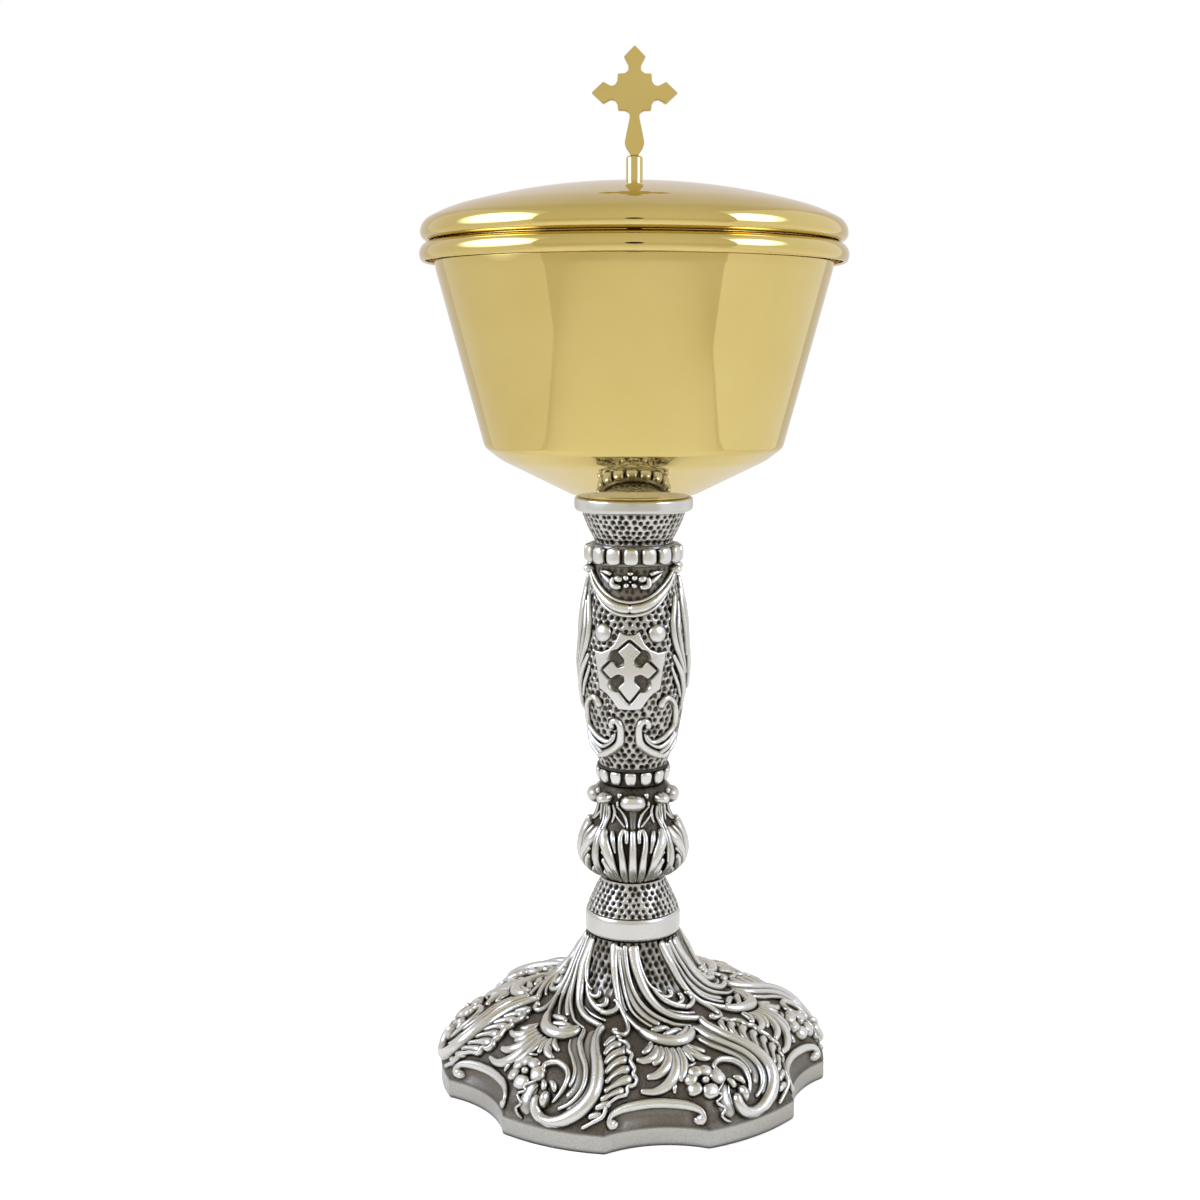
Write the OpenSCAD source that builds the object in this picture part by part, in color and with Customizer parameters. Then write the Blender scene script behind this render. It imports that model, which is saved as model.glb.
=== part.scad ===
// Ciborium: a covered cup on a cast stem and foot, with a lift-off lid.
// Millimetres, +Z up, origin at the middle of the foot's underside.

/* [Foot] */
// Greatest radius of the foot's rim
foot_r = 52.3; // [46:0.1:64]
// Height of the foot, to the seat of the base collar
foot_h = 39.5; // [36:0.5:48]
// Height of the plain upright band at the rim
rim_h = 5; // [3:0.5:7]
// Wall of the hollow foot
foot_wall = 2.4; // [1.8:0.1:3]
// Thickness of the web that the tie nut pulls against
web_t = 4; // [3:0.5:5]
// Notches round the rim
notch_count = 6; // [5:1:8]
// Half width of a notch, corner to corner
notch_half = 11; // [7:0.5:12]
// Depth of a notch at its middle, below the line between its corners
notch_depth = 2.3; // [1.5:0.1:3]
// How far a notch's middle lies inside the rim
notch_inset = 5.2; // [4:0.1:6.5]
// Direction of the first notch, in degrees from the front
notch_turn = 7; // [0:1:59]

/* [Stem] */
// Height of the plain base collar
base_collar_h = 6.5; // [4:0.5:9]
// Radius of the base collar
base_collar_r = 12.8; // [11.5:0.1:16]
// Height of the hammered cone
cone_h = 8.5; // [6:0.5:12]
// Height of the acanthus knop
knop_h = 26; // [20:0.5:34]
// Greatest radius of the knop
knop_r = 14.4; // [12:0.1:18]
// Leaves round the knop
leaf_count = 8; // [6:1:10]
// Height of the lower ring of gadroons
lower_ring_h = 5; // [4:0.5:7]
// Gadroons in the lower ring
lower_bead_count = 14; // [10:1:18]
// Height of the baluster shaft
shaft_h = 53.8; // [42:0.1:68]
// Greatest radius of the shaft
shaft_r = 14.2; // [12.5:0.1:18]
// Shields and swags round the shaft
face_count = 3; // [2:1:4]
// Height of the upper ring of gadroons
upper_ring_h = 5.2; // [4:0.2:7]
// Gadroons in the upper ring
upper_bead_count = 16; // [12:1:20]
// Height of the hammered flare
flare_h = 8.3; // [6:0.1:12]
// Radius of the flare at its top
flare_r = 13.6; // [12:0.1:18]
// Height of the plain top collar
top_collar_h = 3.8; // [2.5:0.1:6]
// Radius of the top collar
top_collar_r = 15.5; // [14:0.1:20]

/* [Cup] */
// Greatest radius of the cup, over its lip
cup_r = 54.5; // [45:0.1:66]
// Height of the cup, from its flat bottom to the top of its lip
cup_h = 63.8; // [54:0.1:78]
// Thickness of the cup's sheet
cup_t = 1; // [0.7:0.1:1.2]
// Slope of the cup's side, in degrees from upright
side_slope = 15.2; // [8:0.2:18]
// Radius of the bend between side and bottom
knuckle_r = 14; // [8:0.5:18]
// Rise of the cup's conical bottom, in degrees
bottom_rise = 26; // [15:1:32]
// Outer radius of the curl that makes the lip
lip_curl_r = 3.05; // [2.4:0.05:3.6]
// Step from the side in to the neck under the lip
neck_step = 1.05; // [0.6:0.05:1.4]
// Thickness of the gilt washer between cup and stem
seat_t = 0.6; // [0.4:0.1:1.5]

/* [Lid] */
// Gap between the closed lid and the cup's lip
lid_gap = 0.2; // [0.1:0.05:0.3]
// Greatest radius of the lid, less that of the cup
lid_overhang = -0.35; // [-1:0.05:1]
// Height of the dome above its edge
dome_rise = 12.8; // [10:0.1:18]
// Thickness of the lid's sheet
lid_t = 0.8; // [0.6:0.1:1]
// Depth of the spigot below the lid's edge
spigot_depth = 8; // [5:0.5:12]
// Clearance of the spigot in the cup's neck
spigot_clear = 0.4; // [0.3:0.05:0.8]

/* [Cross] */
// Half the span of the cross's arms
cross_half = 10.9; // [8:0.1:14]
// Height of the cross above its post
cross_h = 26.9; // [21:0.1:33]
// Thickness of the cross
cross_t = 2.2; // [1.6:0.1:3]
// Radius of the finial's post
post_r = 2.1; // [1.9:0.1:3]
// Height of the finial's post
post_h = 6.6; // [5:0.1:10]

/* [Fasteners] */
// Radius of the tie rod
rod_r = 3; // [2.5:0.25:4]
// Clearance of the castings round the tie rod
rod_clear = 0.3; // [0.2:0.05:0.5]
// Radial clearance of a thread that is drawn as a plain cylinder
thread_clear = 0.05; // [0.02:0.01:0.08]
// Radius of the boss under the cup
boss_r = 6; // [5:0.1:7]
// Height of the boss under the cup
boss_h = 12; // [9:0.5:15]
// Width of the tie nut across its flats
tie_nut_af = 10; // [8:0.5:13]
// Height of the tie nut
tie_nut_h = 5; // [3:0.5:7]
// Radius of the finial's stud
stud_r = 1.5; // [1.2:0.1:1.7]
// Clearance of the finial's stud in the lid
stud_clear = 0.15; // [0.1:0.05:0.3]
// Width of the finial nut across its flats
finial_nut_af = 5.5; // [5:0.5:7]

/* [Hidden] */

$fn = 96;
// Colours of the two finishes
gilt = "#d2be7d";
silver = "#b9b6ac";
antique = "#8e8a80";
steel = "#8c8f92";

// Heights of the seats, from the foot up
z_collar = foot_h;
z_cone = z_collar + base_collar_h;
z_knop = z_cone + cone_h;
z_lower_ring = z_knop + knop_h;
z_shaft = z_lower_ring + lower_ring_h;
z_upper_ring = z_shaft + shaft_h;
z_flare = z_upper_ring + upper_ring_h;
z_top_collar = z_flare + flare_h;
z_seat = z_top_collar + top_collar_h;
z_cup = z_seat + seat_t;
z_lip = z_cup + cup_h;
z_lid = z_lip + lid_gap;

// Bores in the castings
rod_bore_r = rod_r + rod_clear;
boss_play = 0.3;
boss_bore_r = boss_r + 0.2;
cast_wall = 2.6;
cast_web = 4;

// Lower edge of the lid's curl, and the bend of the dome
lid_r = cup_r + lid_overhang;
edge_r = 4;
under_r = 2.1;
shoulder_r = 36.4;
shoulder_deg = 29;
z_edge = z_lid + under_r;
z_apex = z_edge + dome_rise;
z_post = z_apex;
z_cross = z_post + post_h;

// Points of an arc about [cx, cy], from angle a to angle b (0 along the radius)
function arc(cx, cy, r, a, b, n = 8) =
    [for (i = [0 : n]) let (t = a + (b - a) * i / n) [cx + r * cos(t), cy + r * sin(t)]];
// Value a share of the way from a to b
function between(a, b, share) = a + (b - a) * share;

// A turned piece: its outline from bottom to top, with the axis as its fourth side
module turned(outline) {
    last = len(outline) - 1;
    rotate_extrude()
        polygon(concat([[0, outline[0][1]]], outline, [[0, outline[last][1]]]));
}

// A turned band with rounded edges
module band(r, h, edge) {
    turned(concat(arc(r - edge, edge, edge, -90, 0, 5), arc(r - edge, h - edge, edge, 0, 90, 5)));
}

// Bore for the tie rod, and the hollow inside a casting
module rod_bore(h) {
    translate([0, 0, -1]) cylinder(r = rod_bore_r, h = h + 2);
}
// Room for the cup's boss, in a piece whose foot is at height z
module boss_room(z) {
    translate([0, 0, z_cup - boss_h - boss_play - z]) cylinder(r = boss_bore_r, h = boss_h + 1);
}
module core(r, h) {
    translate([0, 0, cast_web]) cylinder(r = r, h = h - 2 * cast_web);
}

// ---- foot ----
// Shares of the way from the collar's seat out to the rim, and of the foot's height
foot_top_r = base_collar_r - 0.4;
web_taper = 0.6;
foot_curve = [[0.04, 0.93], [0.095, 0.82], [0.145, 0.725], [0.22, 0.635], [0.3, 0.58],
              [0.4, 0.54], [0.52, 0.51], [0.65, 0.47], [0.775, 0.41], [0.885, 0.33],
              [0.95, 0.24], [0.98, 0.17]];
function foot_outline(in) =
    let (top = foot_top_r - in * web_taper, rim = foot_r - in)
    concat([[rim, in > 0 ? -1 : 0], [rim, rim_h - in / 2]],
           [for (i = [len(foot_curve) - 1 : -1 : 0])
               [between(top, rim, foot_curve[i][0]), foot_h * foot_curve[i][1] - in]],
           [[top, foot_h - (in > 0 ? web_t : 0)]]);
// The notches are upright round cuts about centres outside the rim
notch_r = (pow(notch_half, 2) + pow(notch_depth, 2)) / (2 * notch_depth);
notch_mid = foot_r - notch_inset;
module notches(grow) {
    for (i = [0 : notch_count - 1])
        rotate([0, 0, notch_turn - 90 + i * 360 / notch_count])
            translate([notch_mid + notch_r, 0, -2])
                cylinder(r = notch_r + grow, h = foot_h);
}
module foot() {
    color(antique)
    difference() {
        turned(foot_outline(0));
        difference() {
            turned(foot_outline(foot_wall));
            notches(foot_wall);
        }
        notches(0);
        rod_bore(foot_h);
    }
}

// ---- stem ----
base_edge = 1.4;
module base_collar() {
    color(silver)
    translate([0, 0, z_collar])
    difference() {
        band(base_collar_r, base_collar_h, base_edge);
        rod_bore(base_collar_h);
    }
}

cone_foot_r = base_collar_r - 0.6;
cone_top_r = 8.6;
module stem_cone() {
    color(antique)
    translate([0, 0, z_cone])
    difference() {
        turned([[cone_foot_r, 0], [between(cone_foot_r, cone_top_r, 0.28), cone_h * 0.3],
                [between(cone_foot_r, cone_top_r, 0.61), cone_h * 0.62], [cone_top_r, cone_h]]);
        rod_bore(cone_h);
        translate([0, 0, -1]) cylinder(r = cone_top_r - cast_wall, h = cone_h - 2);
    }
}

// Height share and radius share of the knop's body, from its foot up
knop_curve = [[0, 0.61], [0.07, 0.76], [0.13, 0.92], [0.2, 0.99], [0.31, 1], [0.45, 0.96],
              [0.55, 0.89], [0.64, 0.77], [0.73, 0.66], [0.84, 0.66], [0.93, 0.68], [1, 0.62]];
leaf_tip_r = 2.1;
leaf_tip_z = 0.875;
module stem_knop() {
    color(antique)
    translate([0, 0, z_knop])
    difference() {
        union() {
            turned([for (p = knop_curve) [knop_r * p[1], knop_h * p[0]]]);
            for (i = [0 : leaf_count - 1])
                rotate([0, 0, -90 + i * 360 / leaf_count])
                    translate([knop_r * 0.71, 0, knop_h * leaf_tip_z])
                        sphere(r = leaf_tip_r, $fn = 32);
        }
        // furrows between the leaves
        for (i = [0 : leaf_count - 1])
            rotate([0, 0, -90 + (i + 0.5) * 360 / leaf_count])
                translate([knop_r + 0.3, 0, knop_h * 0.12])
                    cylinder(r = 1.1, h = knop_h * 0.36, $fn = 24);
        rod_bore(knop_h);
        core(knop_r * 0.42, knop_h * 0.9);
    }
}

// A ring with a row of rounded gadroons standing out of it
ring_edge = 0.6;
gadroon_edge = 0.3;
gadroon_sunk = 0.25;
module gadroon_ring(core_r, count, h) {
    bead_r = min(h / 2 - gadroon_edge, 2);
    difference() {
        union() {
            band(core_r, h, ring_edge);
            for (i = [0 : count - 1])
                rotate([0, 0, -90 + i * 360 / count])
                    translate([core_r - bead_r * gadroon_sunk, 0, h / 2])
                        sphere(r = bead_r, $fn = 32);
        }
        rod_bore(h);
    }
}
lower_ring_r = 8.9;
upper_ring_r = 11.6;
module lower_gadroon_ring() {
    color(silver)
    translate([0, 0, z_lower_ring])
        gadroon_ring(lower_ring_r, lower_bead_count, lower_ring_h);
}
module upper_gadroon_ring() {
    color(silver)
    translate([0, 0, z_upper_ring])
        difference() {
            gadroon_ring(upper_ring_r, upper_bead_count, upper_ring_h);
            boss_room(z_upper_ring);
        }
}

// Height share and radius share of the shaft's ground, from its foot up
shaft_curve = [[0, 0.63], [0.05, 0.71], [0.09, 0.80], [0.16, 0.86], [0.24, 0.92], [0.33, 0.97],
               [0.45, 1], [0.55, 1], [0.66, 0.97], [0.76, 0.91], [0.86, 0.83], [0.95, 0.80],
               [1, 0.80]];
shield_z = 0.56;
shield_w = 15.5;
shield_h = 18.5;
shield_proud = 0.9;
// Shield with two points at its top and scooped sides, about its middle
function shield_outline(w, h) =
    concat([[0, h * 0.36]], [[w * 0.2, h * 0.5]],
           arc(w * 0.42, h * 0.5, w * 0.19, 190, 280, 4), [[w * 0.5, h * 0.22]],
           [[w * 0.42, 0], [w * 0.4, -h * 0.22]], [[w * 0.24, -h * 0.36], [w * 0.14, -h * 0.5]]);
module shield() {
    half = shield_outline(shield_w, shield_h);
    other = [for (i = [len(half) - 1 : -1 : 1]) [-half[i][0], half[i][1]]];
    rotate([90, 0, 0])
        linear_extrude(shaft_r * 2)
            polygon(concat(half, other));
}
module shaft_body(grow) {
    turned([for (p = shaft_curve) [shaft_r * p[1] + grow, shaft_h * p[0]]]);
}
module stem_shaft() {
    color(antique)
    translate([0, 0, z_shaft])
    difference() {
        union() {
            shaft_body(0);
            intersection() {
                shaft_body(shield_proud);
                for (i = [0 : face_count - 1])
                    rotate([0, 0, i * 360 / face_count])
                        translate([0, 0, shaft_h * shield_z]) shield();
            }
        }
        rod_bore(shaft_h);
        boss_room(z_shaft);
        core(shaft_r * 0.62, shaft_h);
    }
}

flare_neck_r = 10.2;
// Height share, and share of the way from neck to top radius
flare_curve = [[0, 0], [0.12, 0.06], [0.3, 0.28], [0.58, 0.65], [1, 1]];
module stem_flare() {
    color(antique)
    translate([0, 0, z_flare])
    difference() {
        turned([for (p = flare_curve) [between(flare_neck_r, flare_r, p[1]), flare_h * p[0]]]);
        rod_bore(flare_h);
        boss_room(z_flare);
    }
}

top_edge = 1.2;
module top_collar() {
    color(silver)
    translate([0, 0, z_top_collar])
    difference() {
        band(top_collar_r, top_collar_h, top_edge);
        boss_room(z_top_collar);
    }
}

// ---- cup ----
bowl_seat_r = 14.6;
module bowl_seat() {
    color(gilt)
    translate([0, 0, z_seat])
    difference() {
        cylinder(r = bowl_seat_r, h = seat_t);
        boss_room(z_seat);
    }
}

boss_skin = 1.5;
rod_end_gap = 0.5;
module bowl_boss() {
    color("#b08d4a")
    difference() {
        translate([0, 0, z_cup - boss_h]) cylinder(r = boss_r, h = boss_h);
        translate([0, 0, z_cup - boss_h - 1])
            cylinder(r = rod_r + thread_clear, h = boss_h + 1 - boss_skin);
    }
}

// The cup's outer face: flat bottom, cone, knuckle, side, step, neck and curled lip.
// Passing in = cup_t gives the inner face of the same sheet.
curl_z = z_lip - lip_curl_r;
curl_x = cup_r - lip_curl_r;
neck_r = curl_x - lip_curl_r + cup_t;
side_top_z = curl_z - 3.35;
function side_x(z) = neck_r + neck_step * cos(side_slope)
                     - (side_top_z - neck_step * sin(side_slope) - z) * tan(side_slope);
// where the side's line meets the cone's line
bottom_flat_r = 16.3;
meet_x = (side_x(z_cup) - bottom_flat_r * tan(bottom_rise) * tan(side_slope))
         / (1 - tan(bottom_rise) * tan(side_slope));
meet_z = z_cup + (meet_x - bottom_flat_r) * tan(bottom_rise);
knuckle_turn = 90 - side_slope - bottom_rise;
knuckle_reach = knuckle_r / cos(knuckle_turn / 2);
knuckle_mid = (-side_slope - 90 + bottom_rise) / 2;
knuckle_x = meet_x - knuckle_reach * cos(knuckle_mid);
knuckle_z = meet_z - knuckle_reach * sin(knuckle_mid);
curl_end = -35;
function bowl_face(in) =
    concat([[0, z_cup + in], [bottom_flat_r - in * tan(bottom_rise / 2), z_cup + in]],
           arc(knuckle_x, knuckle_z, knuckle_r - in, -90 + bottom_rise, -side_slope, 12),
           in == 0
           ? concat(arc(neck_r, side_top_z, neck_step, -side_slope, 90, 6), [[neck_r, curl_z]])
           : [[neck_r + neck_step - in, side_top_z - neck_step * sin(side_slope)],
              [neck_r - in, side_top_z + neck_step - in]]);
module bowl() {
    inner = bowl_face(cup_t);
    outer = bowl_face(0);
    color(gilt)
    rotate_extrude($fn = 180)
        polygon(concat(outer,
                       arc(curl_x, curl_z, lip_curl_r - cup_t, 180, curl_end, 16),
                       arc(curl_x, curl_z, lip_curl_r, curl_end, 180, 16),
                       [for (i = [len(inner) - 1 : -1 : 0]) inner[i]]));
}

// ---- tie rod and what clamps the stack ----
z_web = foot_h - web_t;
lock_clear = 0.15;
split = 0.8;
split_deg = 25;
tie_washer_t = 1.5;
tie_washer_r = 9;
lock_t = 1.4;
lock_r = tie_nut_af * 0.52;
rod_spare = 2;
z_rod_foot = z_web - tie_washer_t - lock_t - tie_nut_h - rod_spare;
module tie_rod() {
    color(steel)
    translate([0, 0, z_rod_foot])
        cylinder(r = rod_r, h = z_cup - boss_skin - rod_end_gap - z_rod_foot);
}
module washer(r, bore, t) {
    difference() {
        cylinder(r = r, h = t);
        translate([0, 0, -1]) cylinder(r = bore, h = t + 2);
    }
}
module tie_washer() {
    color(steel)
    translate([0, 0, z_web - tie_washer_t]) washer(tie_washer_r, rod_bore_r, tie_washer_t);
}
module lock_washer() {
    color(steel)
    translate([0, 0, z_web - tie_washer_t - lock_t])
    difference() {
        washer(lock_r, rod_r + lock_clear, lock_t);
        // the split
        translate([lock_r, 0, lock_t / 2]) rotate([split_deg, 0, 0])
            cube([2 * (lock_r - rod_r), split, 4 * lock_t], center = true);
    }
}
// Hexagon nut, standing on its lower face, with its corners turned off
nut_edge = 0.12;
module hex_nut(af, bore, h) {
    flat_r = af / 2;
    corner_r = flat_r / cos(30);
    difference() {
        intersection() {
            cylinder(r = corner_r, h = h, $fn = 6);
            turned([[flat_r, 0], [corner_r, h * nut_edge], [corner_r, h * (1 - nut_edge)],
                    [flat_r, h]]);
        }
        translate([0, 0, -1]) cylinder(r = bore, h = h + 2);
    }
}
module tie_nut() {
    color(steel)
    translate([0, 0, z_web - tie_washer_t - lock_t - tie_nut_h])
        hex_nut(tie_nut_af, rod_r + thread_clear, tie_nut_h);
}

// ---- lid ----
// The dome's crown is an arc about the axis, its shoulder a tighter arc, and its edge
// tighter still; each runs on smoothly from the last.
edge_x = lid_r - edge_r;
run = shoulder_r - edge_r;
sx = edge_x - run * sin(shoulder_deg);
sk = dome_rise + run * cos(shoulder_deg);
crown_r = (pow(sx, 2) + pow(sk, 2) - pow(shoulder_r, 2)) / (2 * (sk - shoulder_r));
crown_z = z_apex - crown_r;
crown_deg = asin(sx / (crown_r - shoulder_r));
shoulder_x = sx;
shoulder_z = crown_z + (crown_r - shoulder_r) * cos(crown_deg);
under_x = lid_r - under_r;
lap = 2.2;
function dome_face(in) =
    concat(arc(0, crown_z, crown_r - in, 90, 90 - crown_deg, 12),
           arc(shoulder_x, shoulder_z, shoulder_r - in, 90 - crown_deg, 90 - shoulder_deg, 5),
           arc(edge_x, z_edge, edge_r - in, 90 - shoulder_deg, 0, 8),
           arc(under_x, z_edge, under_r - in, 0, -90, 7));
module lid_dome() {
    outer = dome_face(0);
    inner = dome_face(lid_t);
    color(gilt)
    difference() {
        rotate_extrude($fn = 180)
            polygon(concat(outer, [[under_x - lap, z_lid], [under_x - lap, z_lid + lid_t]],
                           [for (i = [len(inner) - 1 : -1 : 0]) inner[i]]));
        translate([0, 0, z_edge]) cylinder(r = stud_r + stud_clear, h = dome_rise * 2);
    }
}

// A turned ring of sheet: flange on the lid's lap, tube down into the cup's neck
spigot_r = neck_r - cup_t - spigot_clear;
module lid_spigot() {
    color(gilt)
    rotate_extrude($fn = 180)
        polygon([[spigot_r - lid_t, z_lid - spigot_depth], [spigot_r, z_lid - spigot_depth],
                 [spigot_r, z_lid + lid_t], [under_x - 0.2, z_lid + lid_t],
                 [under_x - 0.2, z_lid + 2 * lid_t], [spigot_r - lid_t, z_lid + 2 * lid_t]]);
}

// ---- finial ----
stud_drop = 7;
tenon_r = 0.9;
tenon_h = 2.5;
post_edge = 0.5;
module finial_post() {
    color(gilt)
    difference() {
        union() {
            translate([0, 0, z_post])
                turned([[post_r - post_edge, 0], [post_r, post_edge], [post_r, post_h - post_edge],
                        [post_r - post_edge, post_h]]);
            translate([0, 0, z_apex - stud_drop]) cylinder(r = stud_r, h = stud_drop);
        }
        translate([0, 0, z_cross - tenon_h]) cylinder(r = tenon_r, h = tenon_h + 1);
    }
}

// Half of the cross's outline on its right, from the foot of the shank up, as shares of
// its half span across and its height above the post
function cross_half_outline() =
    let (w = cross_half, h = cross_h, zc = h * 0.57, s = cross_half * 0.4, d = cross_half * 0.29)
    concat([[w * 0.09, 0], [w * 0.2, h * 0.07], [w * 0.235, h * 0.125], [w * 0.2, h * 0.2],
            [w * 0.115, h * 0.345]],
           // scoops either side of each corner of the middle square
           arc(w * 0.255, zc - s - w * 0.14, w * 0.14, 180, 90, 4),
           [[s, zc - s]],
           arc(s + w * 0.11, zc - w * 0.27, w * 0.11, 180, 90, 4),
           [[w * 0.73, zc - w * 0.24], [w, zc], [w * 0.73, zc + w * 0.24]],
           arc(s + w * 0.11, zc + w * 0.27, w * 0.11, 270, 180, 4),
           [[s, zc + s]],
           arc(w * 0.255, zc + s + w * 0.12, w * 0.12, 270, 180, 4),
           [[w * 0.25, h - w * 0.27]]);
module finial_cross() {
    half = cross_half_outline();
    other = [for (i = [len(half) - 1 : -1 : 0]) [-half[i][0], half[i][1]]];
    color(gilt)
    translate([0, 0, z_cross]) {
        rotate([90, 0, 0])
            linear_extrude(cross_t, center = true)
                polygon(concat(half, [[0, cross_h]], other));
        translate([0, 0, -tenon_h + 0.2]) cylinder(r = tenon_r - 0.02, h = tenon_h + 0.6);
    }
}

finial_washer_t = 0.8;
finial_washer_r = finial_nut_af * 0.75;
finial_nut_h = 2.6;
// The washer's rim meets the dome's inner face
z_finial_seat = crown_z + sqrt(pow(crown_r - lid_t, 2) - pow(finial_washer_r, 2));
module finial_washer() {
    color(gilt)
    translate([0, 0, z_finial_seat - finial_washer_t])
        washer(finial_washer_r, stud_r + stud_clear, finial_washer_t);
}
module finial_nut() {
    color(gilt)
    translate([0, 0, z_finial_seat - finial_washer_t - finial_nut_h])
        hex_nut(finial_nut_af, stud_r + thread_clear, finial_nut_h);
}

foot();
base_collar();
stem_cone();
stem_knop();
lower_gadroon_ring();
stem_shaft();
upper_gadroon_ring();
stem_flare();
top_collar();
bowl_seat();
bowl_boss();
bowl();
tie_rod();
tie_washer();
lock_washer();
tie_nut();
lid_dome();
lid_spigot();
finial_post();
finial_cross();
finial_washer();
finial_nut();
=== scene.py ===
import bisect
import math
import random
import bpy
import bmesh
from mathutils import Matrix, Vector


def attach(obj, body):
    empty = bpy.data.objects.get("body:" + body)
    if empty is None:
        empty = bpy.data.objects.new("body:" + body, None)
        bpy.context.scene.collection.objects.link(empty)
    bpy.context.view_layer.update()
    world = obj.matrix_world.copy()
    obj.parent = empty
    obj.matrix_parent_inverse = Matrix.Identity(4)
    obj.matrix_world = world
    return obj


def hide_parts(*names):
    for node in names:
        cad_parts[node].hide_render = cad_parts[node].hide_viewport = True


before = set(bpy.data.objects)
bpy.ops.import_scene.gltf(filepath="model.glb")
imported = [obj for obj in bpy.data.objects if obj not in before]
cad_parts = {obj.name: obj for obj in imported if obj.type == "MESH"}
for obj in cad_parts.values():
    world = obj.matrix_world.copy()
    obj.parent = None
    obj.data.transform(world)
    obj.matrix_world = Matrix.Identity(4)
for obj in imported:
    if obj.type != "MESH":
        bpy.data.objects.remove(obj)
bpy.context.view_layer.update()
mm = 0.001
print("frame loaded:", len(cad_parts), "nodes")


def linear(hexColour):
    parts = [int(hexColour[i:i + 2], 16) / 255 for i in (1, 3, 5)]
    return [c / 12.92 if c <= 0.04045 else ((c + 0.055) / 1.055) ** 2.4 for c in parts] + [1.0]


def addNode(tree, kind, values=None, links=None, **settings):
    made = tree.nodes.new(kind)
    for name, value in settings.items():
        setattr(made, name, value)
    for name, value in (values or {}).items():
        made.inputs[name].default_value = value
    for name, source in (links or {}).items():
        tree.links.new(source, made.inputs[name])
    return made


def startMaterial(name):
    material = bpy.data.materials.new(name)
    material.use_nodes = True
    tree = material.node_tree
    surface = tree.nodes["Principled BSDF"]
    return material, tree, surface


# A colour ramp from (position, hex colour) stops
def addRamp(tree, source, stops):
    ramp = addNode(tree, "ShaderNodeValToRGB", links={0: source})
    band = ramp.color_ramp
    while len(band.elements) < len(stops):
        band.elements.new(0.5)
    for element, (position, colour) in zip(band.elements, stops):
        element.position = position
        element.color = linear(colour)
    return ramp.outputs["Color"]


# Noise whose scale comes from a size in mm
def addNoise(tree, place, size, detail, roughness=0.5):
    return addNode(tree, "ShaderNodeTexNoise",
                   {"Scale": 1 / (size * mm), "Detail": detail, "Roughness": roughness},
                   {"Vector": place}).outputs["Fac"]


def mapRange(tree, value, low, high, first, last):
    return addNode(tree, "ShaderNodeMapRange",
                   {"From Min": low, "From Max": high, "To Min": first, "To Max": last},
                   {"Value": value}).outputs[0]


def addBump(tree, height, depth, normal=None):
    links = {"Height": height}
    if normal:
        links["Normal"] = normal
    return addNode(tree, "ShaderNodeBump", {"Strength": 1.0, "Distance": depth * mm},
                   links).outputs[0]


# Metal with a colour, a roughness and a bump that are worked out by nodes
def finishMetal(material, tree, surface, tint, gloss, bump):
    tree.links.new(tint, surface.inputs["Base Color"])
    tree.links.new(gloss, surface.inputs["Roughness"])
    tree.links.new(bump, surface.inputs["Normal"])
    surface.inputs["Metallic"].default_value = 1.0
    return material


# Gilt brass, spun and buffed to a mirror: pale yellow, with faint rings left by the
# spinning lathe and a slow waviness that bends the edges of what it reflects
def polishedGiltBrass(name, look):
    material, tree, surface = startMaterial(name)
    place = addNode(tree, "ShaderNodeTexCoord").outputs["Object"]
    # distance from the axis and height, so that lathe marks run round the piece
    flat = addNode(tree, "ShaderNodeVectorMath", {1: (1, 1, 0)}, {0: place}, operation="MULTIPLY")
    away = addNode(tree, "ShaderNodeVectorMath", links={0: flat.outputs[0]}, operation="LENGTH")
    height = addNode(tree, "ShaderNodeSeparateXYZ", links={0: place})
    lathe = addNode(tree, "ShaderNodeCombineXYZ",
                    links={"X": away.outputs["Value"], "Z": height.outputs["Z"]})
    rings = addNoise(tree, lathe.outputs[0], look["ringSpacing"], 3, 0.6)
    waves = addNoise(tree, place, look["waveLength"], 1, 0.4)
    cloud = addNoise(tree, place, look["cloudSize"], 3)
    tint = addRamp(tree, cloud, [(0.3, look["deep"]), (0.7, look["pale"])])
    gloss = mapRange(tree, cloud, 0.3, 0.7, look["roughness"] * 0.8, look["roughness"] * 1.25)
    slow = addBump(tree, waves, look["waveDepth"])
    fine = addBump(tree, rings, look["ringDepth"], slow)
    return finishMetal(material, tree, surface, tint, gloss, fine)


# Cast silver, darkened and then rubbed back: bright on its crests, brown-black where the
# cloth can't reach. "relief" is 0 on the ground and 1 on the crests.
def antiqueSilver(name, look):
    material, tree, surface = startMaterial(name)
    place = addNode(tree, "ShaderNodeTexCoord").outputs["Object"]
    relief = addNode(tree, "ShaderNodeAttribute", attribute_name="relief").outputs["Fac"]
    shade = addNode(tree, "ShaderNodeAmbientOcclusion", {"Distance": look["pocket"] * mm},
                    samples=6)
    grain = addNoise(tree, place, look["grain"], 4, 0.65)
    reach = mapRange(tree, shade.outputs["AO"], look["shut"], look["open"], 0.0, 1.0)
    rubbed = addNode(tree, "ShaderNodeMath", links={0: relief, 1: reach}, operation="MULTIPLY")
    uneven = addNode(tree, "ShaderNodeMath", {1: 0.5}, {0: grain}, operation="SUBTRACT")
    worn = addNode(tree, "ShaderNodeMath", {1: look["uneven"]},
                   {0: uneven.outputs[0], 2: rubbed.outputs[0]}, operation="MULTIPLY_ADD")
    tint = addRamp(tree, worn.outputs[0], look["stops"])
    gloss = mapRange(tree, worn.outputs[0], 0.15, 0.8, look["dull"], look["bright"])
    return finishMetal(material, tree, surface, tint, gloss, addBump(tree, grain, look["skin"]))


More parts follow.
